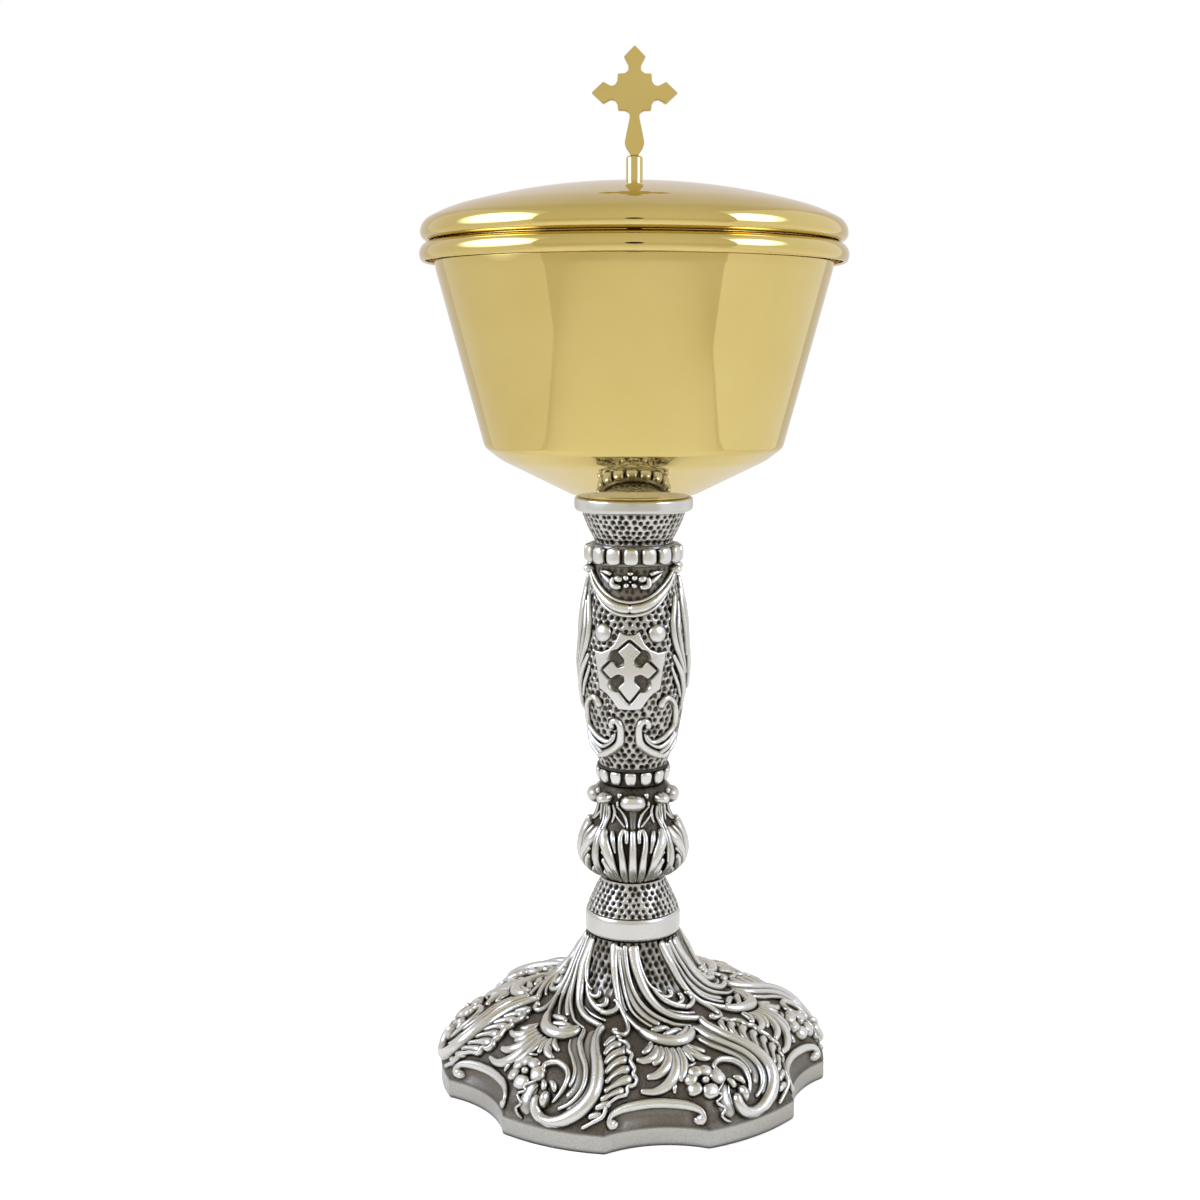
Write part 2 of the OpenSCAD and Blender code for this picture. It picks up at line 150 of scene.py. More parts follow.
# Plain metal turned or filed smooth, with a satin surface and faint handling marks
def satinMetal(name, look):
    material, tree, surface = startMaterial(name)
    place = addNode(tree, "ShaderNodeTexCoord").outputs["Object"]
    cloud = addNoise(tree, place, look["cloudSize"], 4)
    grain = addNoise(tree, place, look["grain"], 2)
    tint = addRamp(tree, cloud, [(0.3, look["deep"]), (0.7, look["pale"])])
    gloss = mapRange(tree, cloud, 0.3, 0.7, look["roughness"] * 0.8, look["roughness"] * 1.3)
    return finishMetal(material, tree, surface, tint, gloss, addBump(tree, grain, look["skin"]))


gilt = polishedGiltBrass("polishedGiltBrass", {
    "deep": "#cbb46b", "pale": "#d0ba73", "roughness": 0.04,
    "ringSpacing": 0.35, "ringDepth": 0.0005,
    "waveLength": 17, "waveDepth": 0.03, "cloudSize": 22})
castSilver = antiqueSilver("antiqueCastSilver", {
    "pocket": 1.5, "shut": 0.25, "open": 0.9, "grain": 0.5, "uneven": 0.3, "skin": 0.06,
    "dull": 0.46, "bright": 0.19,
    "stops": [(0.0, "#1a150e"), (0.1, "#352e23"), (0.26, "#6a6357"), (0.55, "#8f8b81"),
              (0.76, "#b4b1a6"), (0.95, "#d4d1c7")]})
plainSilver = satinMetal("satinSilver", {
    "deep": "#c6c3b8", "pale": "#d2cfc5", "roughness": 0.24, "cloudSize": 9,
    "grain": 0.25, "skin": 0.02})
# Brass of the hidden boss, washer and nut, left as it came off the lathe
rawBrass = satinMetal("turnedBrass", {
    "deep": "#b98f48", "pale": "#c9a45c", "roughness": 0.3, "cloudSize": 5,
    "grain": 0.2, "skin": 0.02})
# Zinc plated steel of the rod and what clamps it
zincSteel = satinMetal("zincPlatedSteel", {
    "deep": "#8b8f94", "pale": "#a3a6a9", "roughness": 0.36, "cloudSize": 4,
    "grain": 0.2, "skin": 0.03})
print("materials made")


# Points of an arc from angle a to angle b in degrees, 0 pointing away from the axis
def arc(cx, cy, radius, a, b, count):
    turns = [math.radians(a + (b - a) * i / count) for i in range(count + 1)]
    return [(cx + radius * math.cos(t), cy + radius * math.sin(t)) for t in turns]


# A line with rounded corners, through (x, y, corner radius)
def rounded(corners, closed=False, arcStep=4.0):
    points = []
    last = len(corners) - 1
    for i, (x, y, radius) in enumerate(corners):
        if radius == 0 or (not closed and i in (0, last)):
            points.append((x, y))
            continue
        here = Vector((x, y))
        back = (Vector(corners[i - 1][:2]) - here).normalized()
        on = (Vector(corners[(i + 1) % (last + 1)][:2]) - here).normalized()
        half = back.angle(on) / 2
        middle = here + (back + on).normalized() * radius / math.sin(half)
        start = here + back * radius / math.tan(half) - middle
        sweep = math.pi - 2 * half
        sign = 1 if back.x * on.y - back.y * on.x < 0 else -1
        count = max(2, round(math.degrees(sweep) / arcStep))
        for k in range(count + 1):
            turned = Matrix.Rotation(sign * sweep * k / count, 2) @ start
            points.append(tuple(middle + turned))
    return points


# The same line with no stretch longer than step
def evenly(points, step):
    filled = [points[0]]
    for (x0, y0), (x1, y1) in zip(points, points[1:]):
        count = max(1, math.ceil(math.hypot(x1 - x0, y1 - y0) / step))
        filled += [(x0 + (x1 - x0) * k / count, y0 + (y1 - y0) * k / count)
                   for k in range(1, count + 1)]
    return filled


# A smooth line through points of any number of values
def smoothLine(points, count):
    made = []
    last = len(points) - 1
    for i in range(last):
        p0, p1, p2, p3 = (points[max(0, i - 1)], points[i], points[i + 1],
                          points[min(last, i + 2)])
        for k in range(count):
            t = k / count
            made.append(tuple(
                0.5 * (2 * b + (c - a) * t + (2 * a - 5 * b + 4 * c - d) * t * t
                       + (3 * b - a - 3 * c + d) * t ** 3)
                for a, b, c, d in zip(p0, p1, p2, p3)))
    made.append(tuple(points[last]))
    return made


# A body turned round the axis from an outline of (r, z) in mm
def turn(outline, steps=192, closed=True):
    bm = bmesh.new()
    ring = [bm.verts.new((r * mm, 0, z * mm)) for r, z in outline]
    pairs = list(zip(ring, ring[1:])) + ([(ring[-1], ring[0])] if closed else [])
    edges = [bm.edges.new(pair) for pair in pairs]
    bmesh.ops.spin(bm, geom=ring + edges, cent=(0, 0, 0), axis=(0, 0, 1),
                   angle=2 * math.pi, steps=steps, use_merge=True)
    bmesh.ops.remove_doubles(bm, verts=bm.verts, dist=1e-6)
    return bm


# Turns a bmesh into a finished piece that rides on a body; stands lists the nodes that it
# stands in for, and edges over sharp degrees stay crisp
def finishPiece(name, bm, body, material, stands, sharp=40):
    bmesh.ops.recalc_face_normals(bm, faces=bm.faces)
    limit = math.radians(sharp)
    for edge in bm.edges:
        if len(edge.link_faces) == 2 and edge.calc_face_angle() > limit:
            edge.smooth = False
    mesh = bpy.data.meshes.new(name)
    bm.to_mesh(mesh)
    bm.free()
    mesh.polygons.foreach_set("use_smooth", [True] * len(mesh.polygons))
    mesh.materials.append(material)
    piece = bpy.data.objects.new(name, mesh)
    bpy.context.scene.collection.objects.link(piece)
    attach(piece, body)
    if stands:
        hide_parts(*stands)
    count = sum(len(p.vertices) - 2 for p in mesh.polygons)
    print("made", name, count, "triangles")


# Point at an azimuth in degrees, 0 in front and then to the right
def onCircle(azimuth, r, z):
    angle = math.radians(azimuth)
    return Vector((r * math.sin(angle), -r * math.cos(angle), z))


# A finished casting of the vessel in darkened silver
def finishCasting(name, bm, stands, sharp=60):
    finishPiece(name, bm, "vessel", castSilver, stands, sharp)


# A ground for cast relief, turned from a profile of (r, z); squeeze(r, azimuth) may pull it
# in. A point on it is its azimuth in degrees (0 in front, then to the right) and its distance
# s in mm along the profile.
def makeGround(profile, squeeze=None):
    line = smoothLine(profile, 24)
    along = [0.0]
    for (r0, z0), (r1, z1) in zip(line, line[1:]):
        along.append(along[-1] + math.hypot(r1 - r0, z1 - z0))
    slopes = []
    for i in range(len(line)):
        (r0, z0), (r1, z1) = line[max(0, i - 1)], line[min(len(line) - 1, i + 1)]
        size = math.hypot(r1 - r0, z1 - z0)
        slopes.append(((r1 - r0) / size, (z1 - z0) / size))

    def at(s):
        i = min(max(bisect.bisect_right(along, s) - 1, 0), len(line) - 2)
        t = (s - along[i]) / (along[i + 1] - along[i])
        t = min(max(t, -0.5), 1.5)
        (r0, z0), (r1, z1) = line[i], line[i + 1]
        (a0, b0), (a1, b1) = slopes[i], slopes[i + 1]
        return r0 + (r1 - r0) * t, z0 + (z1 - z0) * t, a0 + (a1 - a0) * t, b0 + (b1 - b0) * t

    def spot(azimuth, s, lift=0.0):
        r, z, dr, dz = at(s)
        if squeeze:
            r = squeeze(r, azimuth)
        return onCircle(azimuth, r - dz * lift * side, z + dr * lift * side)

    # a lift has to point away from the metal, whichever way the profile runs
    side = 1 if sum(dz for dr, dz in slopes) < 0 else -1
    length = along[-1]

    # distance along the profile where a ridge 1 mm high reaches a radius
    def byRadius(value):
        reach = [line[i][0] - slopes[i][1] * side for i in range(len(line))]
        for i in range(len(reach) - 1):
            if reach[i] <= value <= reach[i + 1]:
                t = (value - reach[i]) / max(reach[i + 1] - reach[i], 1e-9)
                return along[i] + (along[i + 1] - along[i]) * t
        return length if value > reach[-1] else 0.0

    # distance along the profile of a height
    def byHeight(value):
        for i in range(len(line) - 1):
            low, high = sorted((line[i][1], line[i + 1][1]))
            if low <= value <= high:
                t = (value - line[i][1]) / (line[i + 1][1] - line[i][1])
                return along[i] + (along[i + 1] - along[i]) * t
        return length if (value > line[-1][1]) == (line[-1][1] > line[0][1]) else 0.0

    return {"spot": spot, "length": length, "byRadius": byRadius, "byHeight": byHeight,
            "at": at}


# Layer that becomes the attribute that castSilver reads
def reliefLayer(bm):
    return bm.verts.layers.float.get("relief") or bm.verts.layers.float.new("relief")


# Moves a new grid's vertices by their column and row; place gives a point in mm, and relief
def wrapGrid(bm, columns, rows, place):
    layer = reliefLayer(bm)
    made = bmesh.ops.create_grid(bm, x_segments=columns, y_segments=rows, size=1)["verts"]
    for vert in made:
        i = round((vert.co.x + 1) / 2 * columns)
        j = round((vert.co.y + 1) / 2 * rows)
        point, relief = place(i, j)
        vert.co = point * mm
        vert[layer] = relief
    bmesh.ops.remove_doubles(bm, verts=made, dist=1e-7)


# Body of a casting: the ground outside, where surface gives (lift, tone), and a bore inside
def boredBody(c, ground, surface):
    rows, columns = c["rows"], c["columns"]
    low, high = c["profile"][0], c["profile"][-1]
    inner = [(c["bore"], high[1]), (c["bore"], low[1]), low]

    def place(i, j):
        azimuth = 360 * i / columns
        if j > rows:
            return onCircle(azimuth, *inner[j - rows - 1]), 0.2
        s = ground["length"] * j / rows
        lift, tone = surface(azimuth, s)
        return ground["spot"](azimuth, s, lift), tone
    bm = bmesh.new()
    wrapGrid(bm, columns, rows + 3, place)
    return bm


# Pits fade out at both ends of a profile
def endFade(ground, s):
    return min(1, s / 0.4, (ground["length"] - s) / 0.4)


# A rounded ridge along a path on the ground. path is (azimuth, distance along the profile),
# widths and heights are spread evenly along it.
def addStroke(bm, ground, path, widths, heights, sides=12, sunk=0.5, step=0.5, relief=1.0):
    spot = ground["spot"]
    fine = smoothLine(path, 14)
    places = [spot(a, s) for a, s in fine]
    along = [0.0]
    for p, q in zip(places, places[1:]):
        along.append(along[-1] + (q - p).length)
    total = along[-1]

    def spread(values, share):
        at = share * (len(values) - 1)
        i = min(int(at), len(values) - 2)
        return values[i] + (values[i + 1] - values[i]) * (at - i)

    def onPath(distance):
        i = min(max(bisect.bisect_right(along, distance) - 1, 0), len(fine) - 2)
        t = (distance - along[i]) / max(along[i + 1] - along[i], 1e-9)
        return [u + (v - u) * t for u, v in zip(fine[i], fine[i + 1])]

    # stations: close together where the ends are rounded off
    caps = [min(spread(widths, 0) / 2, total * 0.3), min(spread(widths, 1) / 2, total * 0.3)]
    turns = [1 - math.cos(math.radians(a)) for a in (0, 25, 45, 65, 90)]
    middle = total - caps[0] - caps[1]
    count = max(2, math.ceil(middle / step))
    stations = ([caps[0] * t for t in turns]
                + [caps[0] + middle * k / count for k in range(1, count)]
                + [total - caps[1] * t for t in reversed(turns)])
    rings = []
    for distance in stations:
        azimuth, s = onPath(distance)
        share = distance / total
        shrink = 1.0
        for cap, off in ((caps[0], distance), (caps[1], total - distance)):
            if off < cap:
                shrink = min(shrink, math.sqrt(max(0.0, 1 - (1 - off / cap) ** 2)))
        here = spot(azimuth, s)
        a0, s0 = onPath(max(0.0, distance - 0.1))
        a1, s1 = onPath(min(total, distance + 0.1))
        tangent = (spot(a1, s1) - spot(a0, s0)).normalized()
        # the ground's own two directions, for carrying a sideways offset over it
        east = (spot(azimuth + 0.2, s) - here) / 0.2
        south = (spot(azimuth, s + 0.1) - spot(azimuth, s - 0.1)) / 0.2
        up = (spot(azimuth, s, 1.0) - here).normalized()
        side = up.cross(tangent).normalized()
        perAzimuth = side.dot(east) / east.length_squared
        perSouth = side.dot(south) / south.length_squared
        rings.append((azimuth, s, perAzimuth, perSouth, spread(widths, share) / 2 * shrink,
                      spread(heights, share) * shrink, shrink))

    def place(i, j):
        azimuth, s, perAzimuth, perSouth, half, high, shrink = rings[j]
        angle = 2 * math.pi * i / sides
        across = half * math.cos(angle)
        crest = math.sin(angle)
        rise = high * crest if crest > 0 else sunk * shrink * crest
        tone = relief * (0.6 + 0.4 * max(0.0, crest) ** 0.7)
        return spot(azimuth + across * perAzimuth, s + across * perSouth, rise), tone

    wrapGrid(bm, sides, len(rings) - 1, place)


# A domed boss on the ground: half sizes across, along the profile and up, in mm
def addBoss(bm, ground, azimuth, s, across, along, high, turned=0.0, lift=0.0, square=1.0,
            rings=10):
    layer = reliefLayer(bm)
    spot = ground["spot"]
    here = spot(azimuth, s)
    east = (spot(azimuth + 0.2, s) - spot(azimuth - 0.2, s)).normalized()
    up = (spot(azimuth, s, 1.0) - here).normalized()
    south = east.cross(up)
    made = bmesh.ops.create_uvsphere(bm, u_segments=18, v_segments=rings, radius=1)["verts"]
    c, d = math.cos(math.radians(turned)), math.sin(math.radians(turned))
    for vert in made:
        x, y, z = [math.copysign(abs(v) ** square, v) for v in vert.co]
        u, v = x * across * c - y * along * d, x * across * d + y * along * c
        vert[layer] = 0.7 + 0.3 * max(0.0, z)
        vert.co = (here + east * u - south * v + up * (z * high + lift)) * mm


# Copies everything round the axis, count in all
def roundAxis(bm, count):
    geom = bm.verts[:] + bm.edges[:] + bm.faces[:]
    bmesh.ops.spin(bm, geom=geom, cent=(0, 0, 0), axis=(0, 0, 1), steps=count - 1,
                   angle=2 * math.pi * (count - 1) / count, use_duplicate=True)


# Punched pits, in staggered rows that run round the ground
def makePits(ground, look, seed):
    dice = random.Random(seed)
    rows = []
    count = max(1, int((look["to"] - look["from"]) / look["rowStep"]))
    for k in range(count + 1):
        s = look["from"] + k * look["rowStep"]
        r = ground["at"](s)[0]
        number = max(6, round(2 * math.pi * r / look["spacing"]))
        first = (k % 2) * 180 / number
        # each pit a little out of its place and size
        rows.append([(first + 360 / number * (i + dice.uniform(-0.16, 0.16)),
                      s + dice.uniform(-0.14, 0.14) * look["rowStep"],
                      dice.uniform(0.75, 1.1)) for i in range(number)])

    # share of a pit's depth at a point
    def depth(azimuth, s):
        k = round((s - look["from"]) / look["rowStep"])
        r = ground["at"](s)[0]
        deepest = 0.0
        for row in range(max(0, k - 1), min(len(rows), k + 2)):
            pits = rows[row]
            first = (row % 2) * 180 / len(pits)
            near = round((azimuth - first) / (360 / len(pits)))
            for i in (near - 1, near, near + 1):
                a, b, size = pits[i % len(pits)]
                across = ((azimuth - a + 180) % 360 - 180) * math.pi / 180 * r / look["wide"]
                down = (s - b) / look["high"]
                gap = (across ** 2 + down ** 2) * 4 / size ** 2
                if gap < 1:
                    deepest = max(deepest, (1 - gap) ** 0.6)
        return deepest
    return depth


cup = {"bottom": 157.2, "flat": 16.3, "under": (34.4, 166.15, 14), "knuckle": (38.55, 169.4, 3),
       "bend": (50.38, 214.1), "step": (50.84, 216.9), "neck": 49.4,
       "curl": (51.41, 217.95), "curlR": 3.05, "sheet": 1.0, "curlEnd": -35,
       # inner face from the neck down, (r, z, corner radius)
       "inner": [(48.4, 217.95, 0), (48.4, 214.65, 0.5), (49.45, 214.3, 1.2),
                 (36.88, 168.35, 13), (16.07, 158.2, 2), (0, 158.2, 0)]}


def cupOutline(c):
    curlX, curlZ = c["curl"]
    outerR, innerR = c["curlR"], c["curlR"] - c["sheet"]
    end = math.radians(c["curlEnd"])
    lipX = curlX + (outerR + innerR) / 2 * math.cos(end)
    lipZ = curlZ + (outerR + innerR) / 2 * math.sin(end)
    outer = rounded([(0, c["bottom"], 0), (c["flat"], c["bottom"], 2),
                     c["under"], c["knuckle"], (*c["bend"], 9), (*c["step"], 0.85),
                     (c["neck"], c["step"][1], 0.3), (c["neck"], curlZ, 0)], arcStep=3)
    curl = (arc(curlX, curlZ, innerR, 180, c["curlEnd"], 36)
            + arc(lipX, lipZ, c["sheet"] / 2, 180 + c["curlEnd"], 360 + c["curlEnd"], 6)[1:-1]
            + arc(curlX, curlZ, outerR, c["curlEnd"], 180, 44))
    inner = rounded(c["inner"], arcStep=3)
    return evenly(outer, 2.5) + curl[1:-1] + evenly(inner, 2.5)


finishPiece("cupBowl", turn(cupOutline(cup), 240, closed=False), "vessel", gilt, ["bowl"],
            sharp=50)

# Gilt washer that shows as a thin line between cup and stem
seat = {"bore": 6.3, "r": 14.6, "low": 156.6, "high": 157.2}
seatOutline = rounded([(seat["bore"], seat["low"], 0.1), (seat["r"], seat["low"], 0.2),
                       (seat["r"], seat["high"], 0.2), (seat["bore"], seat["high"], 0.1)],
                      closed=True, arcStep=20)
finishPiece("cupSeat", turn(seatOutline, 128), "vessel", gilt, ["bowl_seat"])


# Each arc of the lid is (centre r, centre z, radius), then the angle where it ends
lid = {"crown": (0, 72.137, 163.963, 74.336), "shoulder": (34.44, 194.96, 36.4, 61),
       "edge": (50.15, 223.3, 4.0), "under": (51.95, 223.3, 2.2), "sheet": 0.8, "lap": 49.85,
       "hole": 1.65, "softened": 0.15}


def lidOutline(c):
    def face(off):
        x, z, r, end = c["crown"]
        start = math.degrees(math.acos(c["hole"] / (r - off)))
        crown = arc(x, z, r - off, start, end, 30)
        x, z, r, low = c["shoulder"]
        shoulder = arc(x, z, r - off, end, low, 10)
        x, z, r = c["edge"]
        edge = arc(x, z, r - off, low, 0, 24)
        x, z, r = c["under"]
        return crown + shoulder[1:] + edge[1:] + arc(x, z, r - off, 0, -90, 20)[1:]
    outer, inner = face(0), face(c["sheet"])
    soft = c["softened"]
    flat = [(c["lap"] + soft, outer[-1][1]), (c["lap"], outer[-1][1] + soft),
            (c["lap"], inner[-1][1] - soft), (c["lap"] + soft, inner[-1][1])]
    return outer + flat + inner[::-1]


finishPiece("lidDome", turn(lidOutline(lid), 240), "lid", gilt, ["lid_dome"], sharp=50)

# Ring inside the lid that centres it in the cup's mouth, (r, z, corner radius)
spigotOutline = rounded([(47.2, 213.2, 0.3), (48.0, 213.2, 0.3), (48.0, 222.0, 0),
                         (51.85, 222.0, 0.2), (51.85, 222.8, 0.2), (47.2, 222.8, 0.6)],
                        closed=True, arcStep=12)
finishPiece("lidSpigot", turn(evenly(spigotOutline, 2), 192), "lid", gilt,
            ["lid_spigot"])


# Turned post that carries the cross, with its stud, (r, z, corner radius)
postOutline = rounded([(0, 229.1, 0), (1.5, 229.1, 0.2), (1.5, 236.0, 0), (2.1, 236.0, 0.3),
                       (2.1, 242.7, 0.75), (0, 242.7, 0)], arcStep=9)
finishPiece("finialPost", turn(evenly(postOutline, 0.8), 64, closed=False), "lid", gilt,
            ["finial_post"])

# Flat cross cut from plate: half its outline on the right, from the foot of the shank up,
# about the axis and from the top of the post; corners are (x, height, corner radius)
cross = {
    "foot": 242.7, "thick": 2.2, "edge": 0.18,
    "half": [(0.95, 0, 0), (1.2, 0.5, 0.3), (2.1, 1.8, 1.5), (2.5, 3.1, 0.8), (2.1, 5.2, 2),
             (1.2, 9.4, 2), (1.35, 10.4, 0.6), (2.3, 11.0, 1.0), (4.15, 11.05, 0.35),
             (4.35, 12.6, 0.5), (4.9, 13.4, 0.8), (5.9, 13.7, 0.9), (7.9, 12.65, 0.25),
             (10.85, 15.3, 0.25), (7.9, 18.0, 0.25), (5.9, 16.95, 0.9), (4.9, 17.3, 0.8),
             (4.35, 18.2, 0.5), (4.25, 20.0, 0.35), (2.5, 20.05, 1.0), (1.55, 20.8, 0.8),
             (1.6, 22.0, 1.0), (2.72, 24.1, 0.25), (0, 26.85, 0.2)]}


def crossPlate(c):
    half = c["half"]
    corners = half + [(-x, z, r) for x, z, r in reversed(half[:-1])]
    outline = rounded(corners, closed=True, arcStep=15)
    bm = bmesh.new()
    ring = [bm.verts.new((x * mm, -c["thick"] / 2 * mm, (c["foot"] + z) * mm))
            for x, z in outline]
    face = bm.faces.new(ring)
    made = bmesh.ops.extrude_face_region(bm, geom=[face])["geom"]
    far = [v for v in made if isinstance(v, bmesh.types.BMVert)]
    bmesh.ops.translate(bm, verts=far, vec=(0, c["thick"] * mm, 0))
    rims = [e for e in bm.edges if abs(e.verts[0].co.y - e.verts[1].co.y) < 1e-7]
    bmesh.ops.bevel(bm, geom=rims, offset=c["edge"] * mm, offset_type="OFFSET", segments=2,
                    profile=0.5, affect="EDGES", material=-1)
    bmesh.ops.remove_doubles(bm, verts=bm.verts, dist=1e-6)
    bmesh.ops.triangulate(bm, faces=[f for f in bm.faces if len(f.verts) > 4],
                          ngon_method="EAR_CLIP")
    return bm


finishPiece("finialCross", crossPlate(cross), "lid", gilt, ["finial_cross"], sharp=20)
print("gilt pieces made")


# Plain collars: bore, radius, foot, top and the radii of their two corners
for name, node, bore, r, low, high, lowSoft, highSoft in (
        ("baseCollar", "base_collar", 3.3, 12.8, 39.5, 46.0, 1.3, 1.5),
        ("topCollar", "top_collar", 6.3, 15.5, 152.8, 156.6, 1.3, 0.9)):
    outline = rounded([(bore, low, 0), (r, low, lowSoft), (r, high, highSoft), (bore, high, 0)],
                      closed=True, arcStep=9)
    finishPiece(name, turn(evenly(outline, 1.5), 160), "vessel", plainSilver,
                [node])


# A pitted band of the stem; the profile runs from its foot up
def pittedBand(c):
    ground = makeGround(c["profile"])
    depth = makePits(ground, c["pits"], c["seed"])

    def surface(azimuth, s):
        pit = depth(azimuth, s)
        return -c["deep"] * pit * endFade(ground, s), 0.85 - 0.85 * pit
    return boredBody(c, ground, surface)


coneBand = pittedBand({
    "profile": [(12.3, 46), (11.9, 47.2), (11.2, 48.8), (10.3, 50.8), (9.2, 53), (8.7, 54.5)],
    "seed": 11, "rows": 66, "columns": 420, "bore": 3.3, "deep": 0.42,
    "pits": {"from": 0.6, "to": 9.2, "rowStep": 1.5, "spacing": 1.85, "wide": 1.5,
             "high": 1.55}})
finishCasting("stemCone", coneBand, ["stem_cone"])
flareBand = pittedBand({
    "profile": [(10.2, 144.5), (10.3, 145.4), (11.0, 146.6), (12.2, 149), (13.0, 151),
                (13.6, 152.8)],
    "seed": 12, "rows": 66, "columns": 460, "bore": 6.3, "deep": 0.45,
    "pits": {"from": 0.8, "to": 8.6, "rowStep": 1.5, "spacing": 1.85, "wide": 1.45,
             "high": 1.5}})
finishCasting("stemFlare", flareBand, ["stem_flare"])


# A ring of gadroons round a turned core
def gadroonRing(c):
    bm = turn(rounded(c["core"], closed=True, arcStep=15), 96)
    layer = reliefLayer(bm)
    for vert in bm.verts:
        vert[layer] = c["coreTone"]
    ground = makeGround([(c["r"], c["z"] + c["high"]), (c["r"], c["z"] - c["high"])])
    for k in range(c["count"]):
        before = set(bm.verts)
        addBoss(bm, ground, c["first"] + 360 * k / c["count"], c["high"], c["across"],
                c["high"], c["proud"], square=c["square"], rings=14)
        for vert in set(bm.verts) - before:
            # drawn in towards the foot of the ring
            share = (c["z"] + c["high"] - vert.co.z / mm) / (2 * c["high"])
            pull = 1 - c["taper"] * share
            flat = Vector((vert.co.x, vert.co.y, 0))
            swing = Matrix.Rotation(math.radians(c["first"] + 360 * k / c["count"]), 3, "Z")
            local = swing.inverted() @ flat
            local.x *= pull
            local.y += c["lean"] * share * mm
            vert.co = swing @ local + Vector((0, 0, vert.co.z))
            vert[layer] = max(vert[layer], c["tone"])
    return bm


upperRing = {"count": 16, "first": -3, "z": 141.95, "r": 11.35, "across": 2.05, "high": 2.4,
             "proud": 1.72, "square": 0.66, "taper": 0.0, "lean": 0.0, "coreTone": 0.5,
             "tone": 0.8,
             "core": [(6.3, 139.3, 0), (11.5, 139.3, 0.3), (11.6, 140.0, 0.2),
                      (11.3, 140.3, 0.2), (11.3, 143.6, 0.2), (11.5, 143.9, 0.2),
                      (11.2, 144.5, 0.3), (6.3, 144.5, 0)]}
lowerRing = {"count": 14, "first": -4, "z": 82.9, "r": 8.75, "across": 1.85, "high": 2.05,
             "proud": 1.65, "square": 0.62, "taper": 0.28, "lean": 0.9, "coreTone": 0.15,
             "tone": 0.8,
             "core": [(3.3, 80.5, 0), (8.2, 80.5, 0.3), (8.3, 81.3, 0.3), (8.9, 84.7, 0.3),
                      (9.6, 85.0, 0.2), (9.6, 85.5, 0.2), (3.3, 85.5, 0)]}
for name, look, node in (("upperGadroons", upperRing, "upper_gadroon_ring"),
                         ("lowerGadroons", lowerRing, "lower_gadroon_ring")):
    finishCasting(name, gadroonRing(look), [node])
print("stem bands made")


shaft = {
    "profile": [(9.1, 85.5), (9.4, 87), (10.5, 89.3), (11.3, 91.5), (12.2, 95), (12.9, 99),
                (13.5, 103), (13.9, 107), (14.1, 111), (14.0, 115), (13.6, 120), (13.2, 124.5),
                (12.6, 129), (11.9, 133), (11.4, 136), (11.3, 139.3)],
    "bore": 3.3, "rows": 240, "columns": 400, "faces": 2, "turn": -4, "deep": 0.55,
    "pits": {"from": 0.8, "to": 54, "rowStep": 1.7, "spacing": 2.0, "wide": 1.6,
             "high": 1.75},
    # lower edge of the swag: height in the middle, rise to its end, azimuth of the end
    "swag": (128.9, 8.4, 68), "fuller": 1.25,
    "field": {"past": 6, "deep": 0.35, "tone": 0.34, "pitTone": 0.12}}
shaftGround = makeGround(shaft["profile"])


def shaftBody(c, ground):
    depth = makePits(ground, c["pits"], 13)
    face = 360 / c["faces"]
    low, rise, end = c["swag"]
    field = c["field"]

    def surface(azimuth, s):
        pit = depth(azimuth, s)
        # a dull sunk field above the swag, where pits only show as darker spots
        off = (azimuth - c["turn"] + face / 2) % face - face / 2
        over = ground["at"](s)[1] - low - rise * (off / end) ** 2
        if over > 0 and abs(off) < end + field["past"]:
            tone = field["tone"] - (field["tone"] - field["pitTone"]) * pit
            return -field["deep"] * min(1.0, over), tone
        return -c["deep"] * pit * endFade(ground, s), 0.8 - 0.8 * pit
    return boredBody(c, ground, surface)


finishCasting("shaftBody", shaftBody(shaft, shaftGround), ["stem_shaft"])


